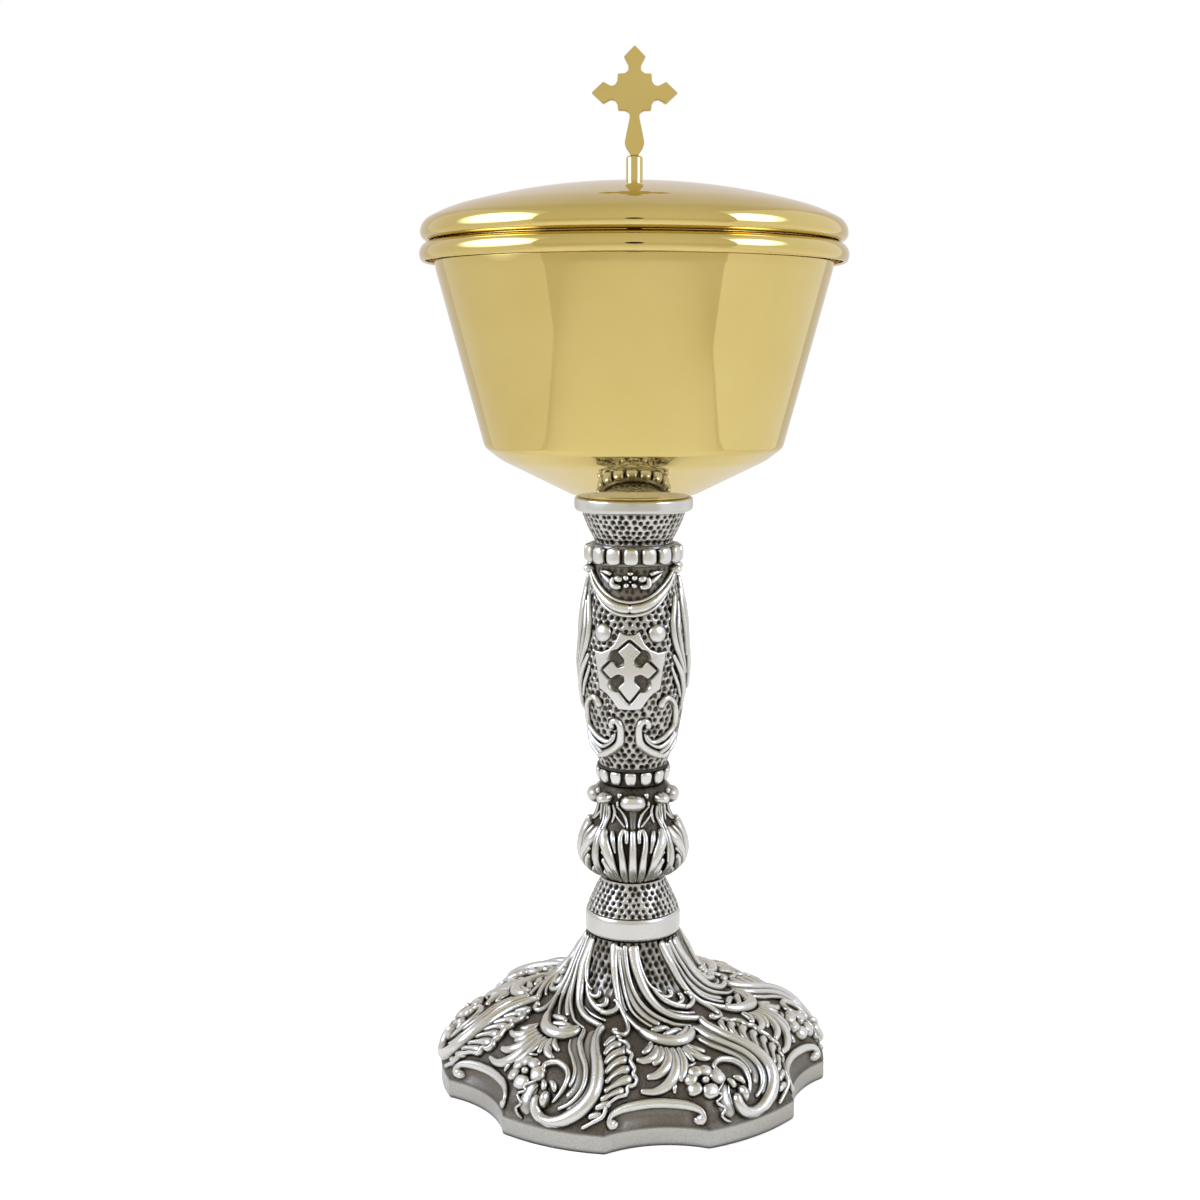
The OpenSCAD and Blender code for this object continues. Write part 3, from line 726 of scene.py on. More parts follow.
# Half of one face's ornament, on its right; points are (azimuth, height), then widths,
# then heights of the ridge. The left is its mirror image.
shaftHalf = [
    # outer scroll, up round its own hook and down under the shield
    ([(37, 102.6), (36, 104), (43, 105.3), (53, 103.6), (59, 100.3), (58.5, 97.3), (48, 95.2),
      (37, 93.9), (27, 93.7), (18.5, 95.8)], [1.7, 1.3, 1.3, 1.2, 1.1, 0.8], [1.1, 1.2, 1.1, 0.8]),
    # big scroll that the leaves spring from
    ([(19.5, 97.2), (21.5, 98.6), (16, 99.6), (11, 98.2), (10.5, 95.8), (13.5, 93.3),
      (23, 91.4), (38, 89.9), (52, 89.2)], [1.5, 1.5, 1.7, 2.0, 2.0, 1.2], [1.1, 1.3, 1.4, 1.3, 0.8]),
    # leaves beside it
    ([(71, 95), (60, 92.9), (50, 91.2), (40, 90.2)], [0.9, 1.5, 1.2], [0.7, 1.1, 0.9]),
    ([(64, 95.6), (52, 92.9), (37, 92.1), (22, 93.9), (17, 96.2)], [0.7, 1.2, 0.9, 0.6],
     [0.7, 1.0, 0.7]),
    ([(78, 93), (68, 90.9), (58, 89.4), (48, 88.7)], [0.7, 1.3, 1.0], [0.6, 0.9, 0.7]),
    # ropes of the swag, from the middle out to the ear
    ([(-2, 128.5), (14, 129.0), (27, 130.3), (41, 132.3), (56, 134.8), (69, 137.6)],
     [2.3, 2.1, 1.8, 1.3, 1.1], [1.4, 1.4, 1.2, 1.0]),
    ([(-2, 130.2), (14, 130.7), (28, 132.0), (42, 134.0), (56, 136.2), (68, 138.3)],
     [0.9, 0.9, 0.8, 0.7], [0.9, 0.9, 0.8]),
    ([(-2, 126.9), (14, 127.4), (27, 128.6), (38, 130.3), (50, 132.6)], [0.9, 1.0, 0.8, 0.5],
     [0.8, 0.8, 0.5]),
    # pointed leaves in the swag
    ([(25, 135.1), (33, 136.2), (43, 137.5)], [1.3, 1.1, 0.4], [1.0, 0.9, 0.5]),
    ([(25, 137.2), (34, 137.8), (45, 137.9)], [1.1, 0.9, 0.3], [0.9, 0.8, 0.4]),
    ([(12, 134.6), (17, 134.1), (24, 134.8), (22, 136.8)], [1.3, 1.5, 1.0], [1.0, 1.1, 0.8]),
    # drop of drapery beside the face
    ([(62, 131.5), (58, 128.5), (53, 124.5), (54, 120.5), (59, 116.5), (66, 112.5), (71, 108)],
     [0.9, 1.3, 1.4, 1.4, 1.2, 0.8], [0.9, 1.1, 1.1, 0.9]),
    ([(68, 130), (65, 126), (62, 122.5), (64, 118.5), (69, 114.5), (74, 110.5)],
     [0.8, 1.4, 1.4, 0.9], [0.7, 1.1, 0.8]),
    ([(50, 116.5), (57, 113.5), (65, 110), (70, 106), (70, 102.8), (66, 101.2)],
     [0.8, 1.4, 1.6, 1.3, 0.9], [0.8, 1.2, 1.2, 0.8]),
    ([(47, 113.5), (53, 110.5), (60, 107.5), (66, 104.5)], [0.6, 1.0, 0.7], [0.7, 0.8, 0.5]),
]
# Strips between two faces
shaftSeam = [
    ([(90, 136), (87, 130), (89, 124), (86, 118), (89, 112), (87, 106)],
     [1.2, 2.4, 2.2, 2.4, 1.8, 0.8], [1.0, 1.4, 1.3, 1.2, 0.8]),
    ([(82, 133), (79, 127), (82, 121), (80, 115)], [0.9, 1.6, 1.5, 0.7], [0.8, 1.1, 0.7]),
    ([(98, 133), (101, 127), (98, 121), (100, 115)], [0.9, 1.6, 1.5, 0.7], [0.8, 1.1, 0.7]),
]


# Bosses, mirrored where they aren't in the middle: azimuth, height, half sizes, turn
shaftBosses = [
    # over the shield, and ears of the swag
    (31, 122.2, 2.5, 2.5, 1.35, 0), (70, 138.0, 1.5, 1.35, 2.3, 0),
    # flower in the swag
    (5.5, 136.5, 0.95, 0.85, 1.15, 35), (5.0, 134.5, 0.95, 0.8, 1.15, -35),
    (15.5, 136.2, 1.35, 1.0, 1.1, 12), (0, 135.5, 0.45, 0.45, 1.25, 0),
    (0, 137.6, 0.9, 0.6, 0.9, 0)]


def shaftRelief(c, ground):
    bm = bmesh.new()
    for path, widths, heights in shaftHalf:
        for side in (1, -1):
            laid = [(side * a, ground["byHeight"](z)) for a, z in path]
            addStroke(bm, ground, laid, [w * c["fuller"] for w in widths], heights)
    for path, widths, heights in shaftSeam:
        laid = [(a, ground["byHeight"](z)) for a, z in path]
        addStroke(bm, ground, laid, widths, heights)
    for azimuth, z, across, along, high, turned in shaftBosses:
        for side in (1, -1) if azimuth else (1,):
            addBoss(bm, ground, side * azimuth, ground["byHeight"](z), across, along, high,
                    turned=side * turned)
    swing = Matrix.Rotation(math.radians(c["turn"]), 4, "Z")
    bmesh.ops.transform(bm, matrix=swing, verts=bm.verts)
    roundAxis(bm, c["faces"])
    return bm


finishCasting("shaftRelief", shaftRelief(shaft, shaftGround), [], sharp=75)


# Distance from a point to a closed outline, below zero inside it
def outlineGap(point, outline):
    px, py = point
    best = 1e9
    inside = False
    for (x0, y0), (x1, y1) in zip(outline, outline[1:] + outline[:1]):
        dx, dy = x1 - x0, y1 - y0
        t = min(1, max(0, ((px - x0) * dx + (py - y0) * dy) / (dx * dx + dy * dy)))
        best = min(best, math.hypot(px - x0 - t * dx, py - y0 - t * dy))
        if (y0 > py) != (y1 > py) and px < x0 + (py - y0) * dx / dy:
            inside = not inside
    return -best if inside else best


# Shield with a raised cross; corners of its right half are mm across and height
shield = {
    "proud": 1.05, "edge": 0.4, "across": 10.4, "low": 102.0, "high": 124.0, "cells": (104, 110),
    "half": [(0, 122.2), (1.4, 122.45), (2.5, 123.3), (3.1, 121.6), (4.0, 119.8), (5.4, 118.4),
             (7.2, 117.6), (9.6, 117.9), (9.2, 115.5), (8.6, 112.5), (8.2, 109.8),
             (7.9, 107.9), (5.9, 106.7), (4.6, 105.3), (3.5, 103.6), (2.8, 102.7), (0, 102.5)],
    "cross": [(0, 120.2), (2.75, 117.7), (1.35, 116.1), (1.15, 114.9), (1.35, 114.1),
              (2.5, 113.7), (3.2, 113.9), (4.4, 115.2), (6.7, 112.9), (4.6, 110.9),
              (3.2, 111.9), (2.5, 112.1), (1.35, 111.7), (1.15, 110.9), (1.35, 109.9),
              (2.7, 108.6), (0, 105.0)],
    # pockets in the cross's corners and the line round it, with how softly each begins
    "pocket": 2.4, "pockets": [(3.1, 116.0), (3.1, 109.8)], "pocketEdge": 0.6, "line": 0.9,
    "lineEdge": 0.45, "lineCut": 0.75, "near": 0.2, "cut": 1.0, "darker": 0.8,
    "sunk": 0.5, "behind": 0.8}


def mirrored(half):
    return half + [(-x, z) for x, z in reversed(half[1:-1])]


def shieldPlate(c, ground):
    outline, figure = mirrored(c["half"]), mirrored(c["cross"])
    columns, rows = c["cells"]

    def place(i, j):
        x = c["across"] * (2 * i / columns - 1)
        z = c["low"] + (c["high"] - c["low"]) * j / rows
        gap = outlineGap((x, z), outline)
        rise = min(1.0, max(0.0, -gap / c["edge"]))
        lift = (c["proud"] + c["sunk"]) * math.sqrt(1 - (1 - rise) ** 2) - c["sunk"]
        tone = 1.0 if rise > 0.5 else 0.3
        if rise > 0:
            off = outlineGap((x, z), figure)
            pocket = min(math.hypot(abs(x) - px, z - pz) for px, pz in c["pockets"])
            near = min(1.0, max(0.0, off / c["near"]))
            deep = min(1.0, max(0.0, (c["pocket"] - pocket) / c["pocketEdge"])) ** 0.6
            groove = min(1.0, max(0.0, (c["line"] - off) / c["lineEdge"]))
            cut = near * max(deep, groove * c["lineCut"])
            lift -= c["cut"] * cut
            tone *= 1 - c["darker"] * cut
        r = ground["at"](ground["byHeight"](z))[0]
        return ground["spot"](math.degrees(x / r), ground["byHeight"](z), lift), tone
    bm = bmesh.new()
    wrapGrid(bm, columns, rows, place)
    # closed behind by pushing its rim into the shaft
    rim = [e for e in bm.edges if e.is_boundary]
    made = bmesh.ops.extrude_edge_only(bm, edges=rim)["geom"]
    inner = [v for v in made if isinstance(v, bmesh.types.BMVert)]
    for vert in inner:
        flat = Vector((vert.co.x, vert.co.y, 0))
        vert.co -= flat.normalized() * c["behind"] * mm
    bmesh.ops.contextual_create(bm, geom=[e for e in bm.edges if e.is_boundary])
    bmesh.ops.triangulate(bm, faces=[f for f in bm.faces if len(f.verts) > 4])
    bmesh.ops.transform(bm, matrix=Matrix.Rotation(math.radians(shaft["turn"]), 4, "Z"),
                        verts=bm.verts)
    roundAxis(bm, shaft["faces"])
    return bm


finishCasting("shaftShields", shieldPlate(shield, shaftGround), [])
print("shaft made")


knop = {
    "profile": [(8.4, 54.5), (9.0, 55.5), (10.5, 57.0), (12.2, 58.7), (13.3, 60.6), (13.6, 62.6),
                (13.3, 65), (12.4, 67.6), (11.1, 69.6), (9.9, 71.3), (9.2, 73.4), (9.2, 75.2),
                (9.5, 76.8), (9.6, 78.5), (8.9, 79.8), (8.3, 80.5)],
    "bore": 3.3, "rows": 90, "columns": 320, "leaves": 4, "fuller": 1.1,
    # furrows between the leaves: distance from the seam and width in degrees, then in mm
    "furrow": {"off": 3, "wide": 6, "middle": 63.5, "high": 7.5, "deep": 0.7},
    "lowTone": 0.1, "highTone": 0.14, "lowTo": 69}
knopGround = makeGround(knop["profile"])
# Half of one big leaf, on its right: (azimuth, height) along each rib
knopHalf = [
    # scroll-topped rib beside the middle one
    ([(7.2, 66.4), (7.6, 68.6), (11, 69.6), (14.6, 68.2), (13.6, 65.6), (11.2, 62.6), (10.2, 59.2),
      (10.2, 55.9)], [1.2, 1.5, 1.5, 1.7, 2.1, 2.2, 2.0], [1.3, 1.5, 1.5, 1.5, 1.2]),
    # plump leaflets that fan out
    ([(39, 69.8), (36.5, 67.5), (30, 65), (23.5, 62), (19.6, 58.8), (18.2, 56)],
     [1.4, 3.0, 2.8, 2.0, 1.4, 1.2], [1.0, 1.8, 1.7, 1.3, 1.1]),
    ([(28, 69.5), (25, 68), (21.5, 66), (19, 64)], [0.9, 1.6, 1.3, 0.7], [0.9, 1.3, 0.8]),
    ([(37, 64.3), (31, 63.4), (25, 61.3), (21, 59)], [0.9, 1.4, 1.1, 0.7], [0.9, 1.2, 0.8]),
    ([(36, 62.3), (31, 61.5), (26, 59), (23.4, 56.2)], [1.3, 2.1, 1.8, 1.1], [1.0, 1.4, 1.0]),
    ([(37, 59.1), (33, 58.2), (30, 56.2)], [1.0, 1.6, 1.2], [0.9, 1.2, 0.9]),
    # veins that open out under the tip
    ([(26, 76), (16, 74), (9.5, 71.4), (8, 70)], [0.7, 0.9, 0.8, 0.6], [0.9, 0.8, 0.5]),
    ([(30, 73.6), (20, 71.8), (11, 70.2)], [0.6, 0.9, 0.6], [0.8, 0.8, 0.4]),
    ([(33, 76.2), (30, 74), (33, 71)], [0.6, 1.0, 0.6], [0.7, 0.9, 0.5]),
    # edge of the leaf behind
    ([(41, 76), (39.5, 73), (42.5, 70.6), (42, 66), (41.5, 61)], [0.7, 0.9, 1.0, 1.0, 0.7],
     [0.9, 0.9, 1.0, 0.7]),
]
# Ribs in the middle of a leaf and on the seam between two, with their tone
knopMiddle = [
    ([(0, 69.8), (0, 66), (0, 61.8), (0, 55.8)], [1.9, 2.2, 2.8, 2.9], [1.3, 1.5, 1.5, 1.2], 1.0),
    ([(0, 77), (0, 74), (0, 71.5), (0, 69.5)], [3.0, 2.4, 1.8, 1.4], [0.9, 0.6, 0.6, 0.5], 0.35),
    ([(45, 77.5), (45, 74.5), (46, 71.5), (46, 70)], [1.6, 1.2, 1.2, 1.4], [0.8, 0.8, 1.0], 0.8),
    ([(46, 69.6), (46, 65), (46, 60), (45.5, 56)], [1.6, 2.1, 2.2, 1.8], [1.1, 1.2, 1.0], 0.9)]


def knopBody(c, ground):
    furrow = c["furrow"]

    def surface(azimuth, s):
        z = ground["at"](s)[1]
        off = abs(azimuth % 90 - 45)
        share = (max(0.0, 1 - abs(off - furrow["off"]) / furrow["wide"])
                 * max(0.0, 1 - abs(z - furrow["middle"]) / furrow["high"]))
        return -furrow["deep"] * share, c["lowTone"] if z < c["lowTo"] else c["highTone"]
    return boredBody(c, ground, surface)


def knopLeaves(c, ground):
    bm = bmesh.new()
    up = ground["byHeight"]
    for path, widths, heights in knopHalf:
        for side in (1, -1):
            laid = [(side * a, up(z)) for a, z in path]
            addStroke(bm, ground, laid, [w * c["fuller"] for w in widths], heights)
    for path, widths, heights, tone in knopMiddle:
        laid = [(a, up(z)) for a, z in path]
        addStroke(bm, ground, laid, widths, heights, relief=tone)
    # turned-out tips, big on the front rank and a little smaller behind
    for azimuth, z, across, along, high, lift in ((0, 77.0, 3.4, 2.25, 2.5, 0.35),
                                                  (45, 77.7, 2.1, 1.5, 2.9, 0.3)):
        addBoss(bm, ground, azimuth, up(z), across, along, high, lift=lift, square=0.9, rings=12)
    for side in (1, -1):
        addBoss(bm, ground, side * 21, up(78.6), 0.75, 0.9, 1.0)
        addBoss(bm, ground, side * 24, up(76.4), 0.6, 0.9, 0.9)
    roundAxis(bm, c["leaves"])
    return bm


finishCasting("knopBody", knopBody(knop, knopGround), ["stem_knop"])
finishCasting("knopLeaves", knopLeaves(knop, knopGround), [], sharp=75)
print("knop made")


foot = {
    "profile": [(12.4, 39.5), (13.6, 36), (15.3, 32), (17.5, 28), (20.5, 24.4), (24, 22),
                (28, 20.4), (33, 19.2), (38, 17.7), (43, 15.4), (47, 12.5), (49.6, 9.2),
                (50.8, 6.7), (51.3, 5.7), (51.7, 5.2), (52.0, 4.7), (52.0, 2.4), (52.0, 0.4),
                (51.7, 0.02)],
    "inside": [(49.4, 0.02), (49.4, 3.6), (48.2, 6.4), (45.4, 9.6), (41.6, 12.5), (36.8, 14.8),
               (32, 16.3), (27, 17.5), (22.6, 19.4), (18.6, 22.8), (15.6, 27), (13.6, 31),
               (12.0, 35.5), (3.3, 35.5), (3.3, 39.5), (12.4, 39.5)],
    "rim": 52.0, "stay": 36.0, "notchFirst": 7, "notchMiddle": 74.55, "notchRadius": 27.45,
    "units": 6, "columns": 540, "fineTo": 12, "fineStep": 0.28, "step": 0.66, "deep": 0.5,
    "pits": {"from": 0.8, "to": 13.5, "rowStep": 1.75, "spacing": 1.9, "wide": 1.45,
             "high": 2.0},
    "pitsEnd": 14, "pitTone": 0.55, "tone": 0.22, "rimTone": 0.74, "insideTone": 0.3,
    "rimCrest": 52.6, "insideTo": 20,
    # recessed panel behind the frame at each notch: degrees, then mm
    "panel": {"half": 9, "blur": 2, "middle": 7.6, "high": 2.6, "deep": 0.8, "tone": 0.34}}


# Degrees from the middle of the nearest notch
def fromNotch(azimuth):
    step = 360 / foot["units"]
    return (azimuth - foot["notchFirst"] + step / 2) % step - step / 2


# Radius of the rim at an azimuth: round notches are cut in from outside
def rimRadius(azimuth):
    off = fromNotch(azimuth)
    side = foot["notchMiddle"] * math.sin(math.radians(off))
    rest = foot["notchRadius"] ** 2 - side ** 2
    if rest <= 0:
        return foot["rim"]
    cut = foot["notchMiddle"] * math.cos(math.radians(off)) - math.sqrt(rest)
    return min(foot["rim"], cut)


# The ground follows the notches, more and more towards the rim
def pullIn(r, azimuth):
    stay, rim = foot["stay"], foot["rim"]
    if r <= stay:
        return r
    return stay + (r - stay) * (rimRadius(azimuth) - stay) / (rim - stay)


footGround = makeGround(foot["profile"], pullIn)
crestRadius = footGround["byRadius"]


def footBody(c, ground):
    depth = makePits(ground, c["pits"], 17)
    stations = [0.0]
    while stations[-1] < ground["length"]:
        step = c["fineStep"] if stations[-1] < c["fineTo"] else c["step"]
        stations.append(min(ground["length"], stations[-1] + step))
    rows, columns = len(stations) - 1, c["columns"]
    rimTop = crestRadius(c["rimCrest"])
    panel = c["panel"]

    def place(i, j):
        azimuth = 360 * i / columns
        if j > rows:
            r, z = c["inside"][j - rows - 1]
            r = pullIn(r, azimuth) if z < c["insideTo"] else r
            return onCircle(azimuth, r, z), c["insideTone"]
        s = stations[j]
        pit = depth(azimuth, s) * min(1, max(0, (c["pitsEnd"] - s) / 2))
        side = max(0.0, 1 - max(0.0, abs(fromNotch(azimuth)) - panel["half"]) / panel["blur"])
        share = side * max(0.0, 1 - abs(ground["at"](s)[1] - panel["middle"]) / panel["high"])
        if s > rimTop:
            tone = c["rimTone"]
        else:
            tone = c["pitTone"] * (1 - pit) if s < c["pitsEnd"] else c["tone"]
            tone += (panel["tone"] - tone) * min(1.0, share * 2)
        return ground["spot"](azimuth, s, -c["deep"] * pit - panel["deep"] * share), tone
    bm = bmesh.new()
    wrapGrid(bm, columns, rows + len(c["inside"]), place)
    return bm


finishCasting("footBody", footBody(foot, footGround), ["foot"])


# One sixth of the foot's ornament. A path's points are (azimuth, crest radius); then come
# widths and heights of the ridge along it.
def layOut(bm, strokes, sides=12, fuller=1.0):
    for path, widths, heights, *tone in strokes:
        laid = [(a, crestRadius(r)) for a, r in path]
        addStroke(bm, footGround, laid, [w * fuller for w in widths], heights, sides=sides,
                  sunk=0.6, step=0.55, relief=tone[0] if tone else 1.0)


# Flutes that sweep down from the collar
footFlutes = [
    # first flute, ending in a hook with a knob
    ([(-23.4, 13.4), (-20.4, 14.7), (-17, 16.2), (-13.4, 18.1), (-10.6, 19.8), (-7.5, 21.4),
      (-4.6, 23.1), (-2.8, 24.9), (-2.4, 26.7), (-3.8, 28.1), (-6.4, 28.4), (-8.9, 27.7),
      (-10.2, 26.9)], [2.1, 2.1, 2.0, 1.8, 1.5, 1.3, 1.3, 1.7], [0.5, 1.6, 1.5, 1.3, 1.2, 1.4]),
    ([(-16.8, 13.6), (-14.2, 14.9), (-10, 16.5), (-6.4, 18.4), (-3.6, 19.9), (-0.6, 21.5),
      (3.2, 23), (7.5, 24.5), (11.5, 26)], [1.1, 1.1, 1.0, 0.9, 0.8], [0.4, 1.3, 1.2, 0.9]),
    ([(-10.2, 20.2), (-6.4, 21.9), (-1.6, 23.9), (3, 26.1), (7.4, 27.9), (11.6, 29.4)],
     [0.8, 1.2, 1.4, 1.6], [1.0, 1.4, 1.6]),
    ([(-9.6, 13.5), (-7, 14.7), (-4, 16.1), (-0.2, 17.7), (4.4, 19.4), (9, 21), (14.6, 22.8),
      (19.8, 24.4), (24.4, 26), (29, 27), (33.6, 28)], [1.2, 1.3, 1.2, 1.2, 1.1, 1.0],
     [0.4, 1.4, 1.4, 1.3, 1.2]),
    # widest flute, running into the big scroll
    ([(0, 13.5), (1.6, 14.5), (4.2, 15.7), (7.6, 17), (11.2, 18.4), (15.3, 20), (19, 21.4),
      (24, 22.9), (29.5, 24.2), (36, 25.2), (43, 26.2)], [2.6, 2.6, 2.4, 2.1, 1.8, 1.6],
     [0.55, 1.9, 1.8, 1.6, 1.5]),
    ([(4.8, 13.5), (6, 14.5), (8.8, 15.7), (12, 16.8), (15.8, 17.7), (20.5, 18.3), (25, 18.8)],
     [1.0, 1.2, 1.1, 0.9], [0.4, 1.3, 1.1]),
    # low floors of the channels between them
    ([(-13, 13.7), (-10.5, 14.9), (-7, 16.4), (-3.4, 18.1), (0.4, 19.7), (5, 21.3), (11, 23.2),
      (17, 25)], [1.2, 1.6, 1.8, 1.6], [0.3, 0.6, 0.5]),
    ([(-20, 13.6), (-17.3, 14.9), (-13.6, 16.5), (-10, 18.3), (-7.2, 20), (-4, 21.6)],
     [0.7, 0.9, 1.0, 0.8], [0.35, 0.8, 0.6]),
]
# Big scroll with its hook, and the ridges that follow inside it
footScrolls = [
    ([(43.6, 25.7), (41.9, 27.6), (42.4, 31), (44.6, 35.6), (47.2, 40), (48.5, 44),
      (48.4, 47), (46.6, 49.3), (43.6, 50.8), (40, 51.6), (36.4, 51.9), (33.4, 51.6),
      (31.7, 50.8), (31.6, 49.9), (32.6, 49.2)],
     [1.8, 2.2, 2.8, 3.3, 3.4, 3.3, 3.0, 2.8, 2.7], [1.5, 1.9, 2.2, 2.3, 2.2, 2.2, 2.4]),
]
footRidges = [
    ([(33.4, 27.9), (34.7, 29.6), (36, 33), (39.4, 36.8), (43.4, 41), (44.8, 44.6),
      (44.2, 47.4), (41.8, 49.4), (38.2, 50.5)], [1.3, 1.5, 1.6, 1.5, 1.3, 0.9],
     [1.3, 1.7, 1.7, 1.4, 0.8]),
    ([(31, 32.6), (33.6, 36), (37, 38.8), (39.8, 41.8), (40.6, 44.4), (40.2, 46.6)],
     [0.7, 1.0, 1.1, 0.9], [0.9, 1.2, 1.0]),
    # small scroll in the hollow
    ([(30.4, 44.6), (28.9, 43.6), (29.2, 42.2), (32.6, 41.2), (36.6, 42.2), (38.7, 44.2),
      (38.8, 46.4), (37.8, 48.4), (36.2, 49.8)], [1.2, 1.3, 1.5, 1.4, 1.1, 0.7],
     [1.3, 1.6, 1.5, 0.9]),
    # leaves in the hook
    ([(33.2, 46), (35.2, 46.8), (36.2, 48.2)], [1.0, 1.7, 1.0], [1.1, 1.5, 1.0]),
    ([(30.8, 46), (32, 47), (32.6, 48.4)], [0.9, 1.7, 1.1], [1.0, 1.4, 1.0]),
    # smooth troughs between the ridges
    ([(39.4, 27.4), (38.6, 29), (39.6, 32), (42.2, 36.4), (45.2, 40.4), (46.8, 44),
      (46.4, 46.8), (44.2, 49), (41, 50.6)], [2.2, 2.6, 2.8, 2.4, 1.8], [0.55, 0.7, 0.7, 0.5],
     0.72),
    ([(32.2, 30.6), (34.4, 34.2), (37.6, 37.6), (41, 41), (42.6, 44), (42.2, 46.6),
      (40, 48.6)], [2.2, 2.6, 2.6, 2.2, 1.6], [0.5, 0.6, 0.6, 0.4], 0.66),
]
# Leaf under the flutes, and the three-curled leaf above it
footLeaves = [
    ([(4, 26.6), (8.5, 28.8), (12.5, 30.6), (17.5, 31.9), (23, 32.2), (27.6, 31.2), (30.6, 29.6),
      (30.4, 28.2)], [1.4, 2.4, 2.9, 3.2, 3.2, 2.6, 1.8], [1.6, 2.0, 2.2, 2.1, 1.8]),
    ([(9.5, 27.3), (14, 26.9), (18.8, 26.9), (19.6, 28)], [1.1, 1.7, 1.9, 1.0],
     [1.3, 1.6, 1.2]),
    ([(15, 29.8), (19.5, 28.9), (24.8, 28.5), (25.6, 29.6)], [1.2, 1.9, 2.0, 1.1],
     [1.6, 1.9, 1.4]),
    ([(21, 31), (25.6, 30), (29.4, 28.4), (29, 27.4)], [1.2, 1.8, 1.8, 1.0],
     [1.8, 2.0, 1.4]),
    # three curls
    ([(17, 17.9), (22, 19.2), (27.5, 20.4), (34, 21.5), (40.5, 22.3)], [1.0, 1.4, 1.6, 1.5],
     [1.1, 1.4, 1.4]),
    ([(22, 18.9), (27, 19.6), (31.5, 19.5), (32.5, 18.9), (30.6, 18.4)], [0.8, 1.2, 1.2, 1.1],
     [1.1, 1.4, 1.3]),
    ([(30, 21), (35.6, 21.2), (39.6, 20.7), (40, 19.8), (37.6, 19.4)], [0.9, 1.4, 1.4, 1.1],
     [1.2, 1.5, 1.3]),
    ([(37, 22.3), (43, 22.3), (48, 21.5), (49.4, 20.6), (47.6, 19.8), (44.6, 20)],
     [1.3, 1.6, 1.5, 1.3, 1.2], [1.4, 1.6, 1.4]),
    ([(24, 21.8), (31, 23), (37.6, 23.8), (43.5, 24.2)], [0.6, 1.0, 0.8], [0.9, 1.1, 0.8]),
]
# Fronds that hang under the leaf
footFronds = [
    ([(8.6, 31), (8, 32.8), (6.2, 34.5), (3.6, 35.4)], [0.7, 1.3, 1.3, 0.8], [0.8, 1.3, 0.9]),
    ([(10.6, 32.6), (9.8, 35.2), (7.6, 37.4), (4.2, 38.4), (1, 37.7)],
     [0.8, 1.5, 1.6, 1.2, 0.7], [0.9, 1.4, 1.3, 0.8]),
    ([(12.6, 33.2), (11.8, 36.4), (10, 38.6), (7.2, 39.8)], [0.7, 1.3, 1.4, 0.8],
     [0.9, 1.3, 0.8]),
    ([(14.6, 33.6), (14.2, 37.6), (12.4, 41), (9, 43.4), (4.6, 44.1)],
     [0.8, 1.5, 1.7, 1.4, 0.9], [0.9, 1.4, 1.4, 0.9]),
    ([(17, 34), (16.6, 38.6), (14.8, 43.2), (11.6, 46.3), (7.2, 47.8), (2.4, 47.4)],
     [0.8, 1.5, 1.7, 1.6, 1.3, 0.8], [0.9, 1.5, 1.4, 0.9]),
    ([(19.6, 34.2), (19.4, 38.6), (18, 42.6), (15.6, 45.4)], [0.8, 1.4, 1.4, 0.9],
     [0.9, 1.3, 0.9]),
    ([(21.6, 34.4), (22, 37.4), (23, 40)], [0.8, 1.2, 0.8], [0.8, 1.2, 0.8]),
    ([(22.6, 34), (24.2, 37), (27, 39.3), (30.2, 40)], [0.8, 1.5, 1.4, 0.8],
     [0.9, 1.3, 0.8]),
    ([(24, 33.6), (26, 35.8), (30, 37.5)], [0.7, 1.2, 0.8], [0.8, 1.2, 0.7]),
    # short sprigs in the gaps
    ([(-2, 31), (-3.6, 33.4), (-6.2, 34.8)], [0.6, 1.0, 0.6], [0.7, 0.9, 0.6]),
]
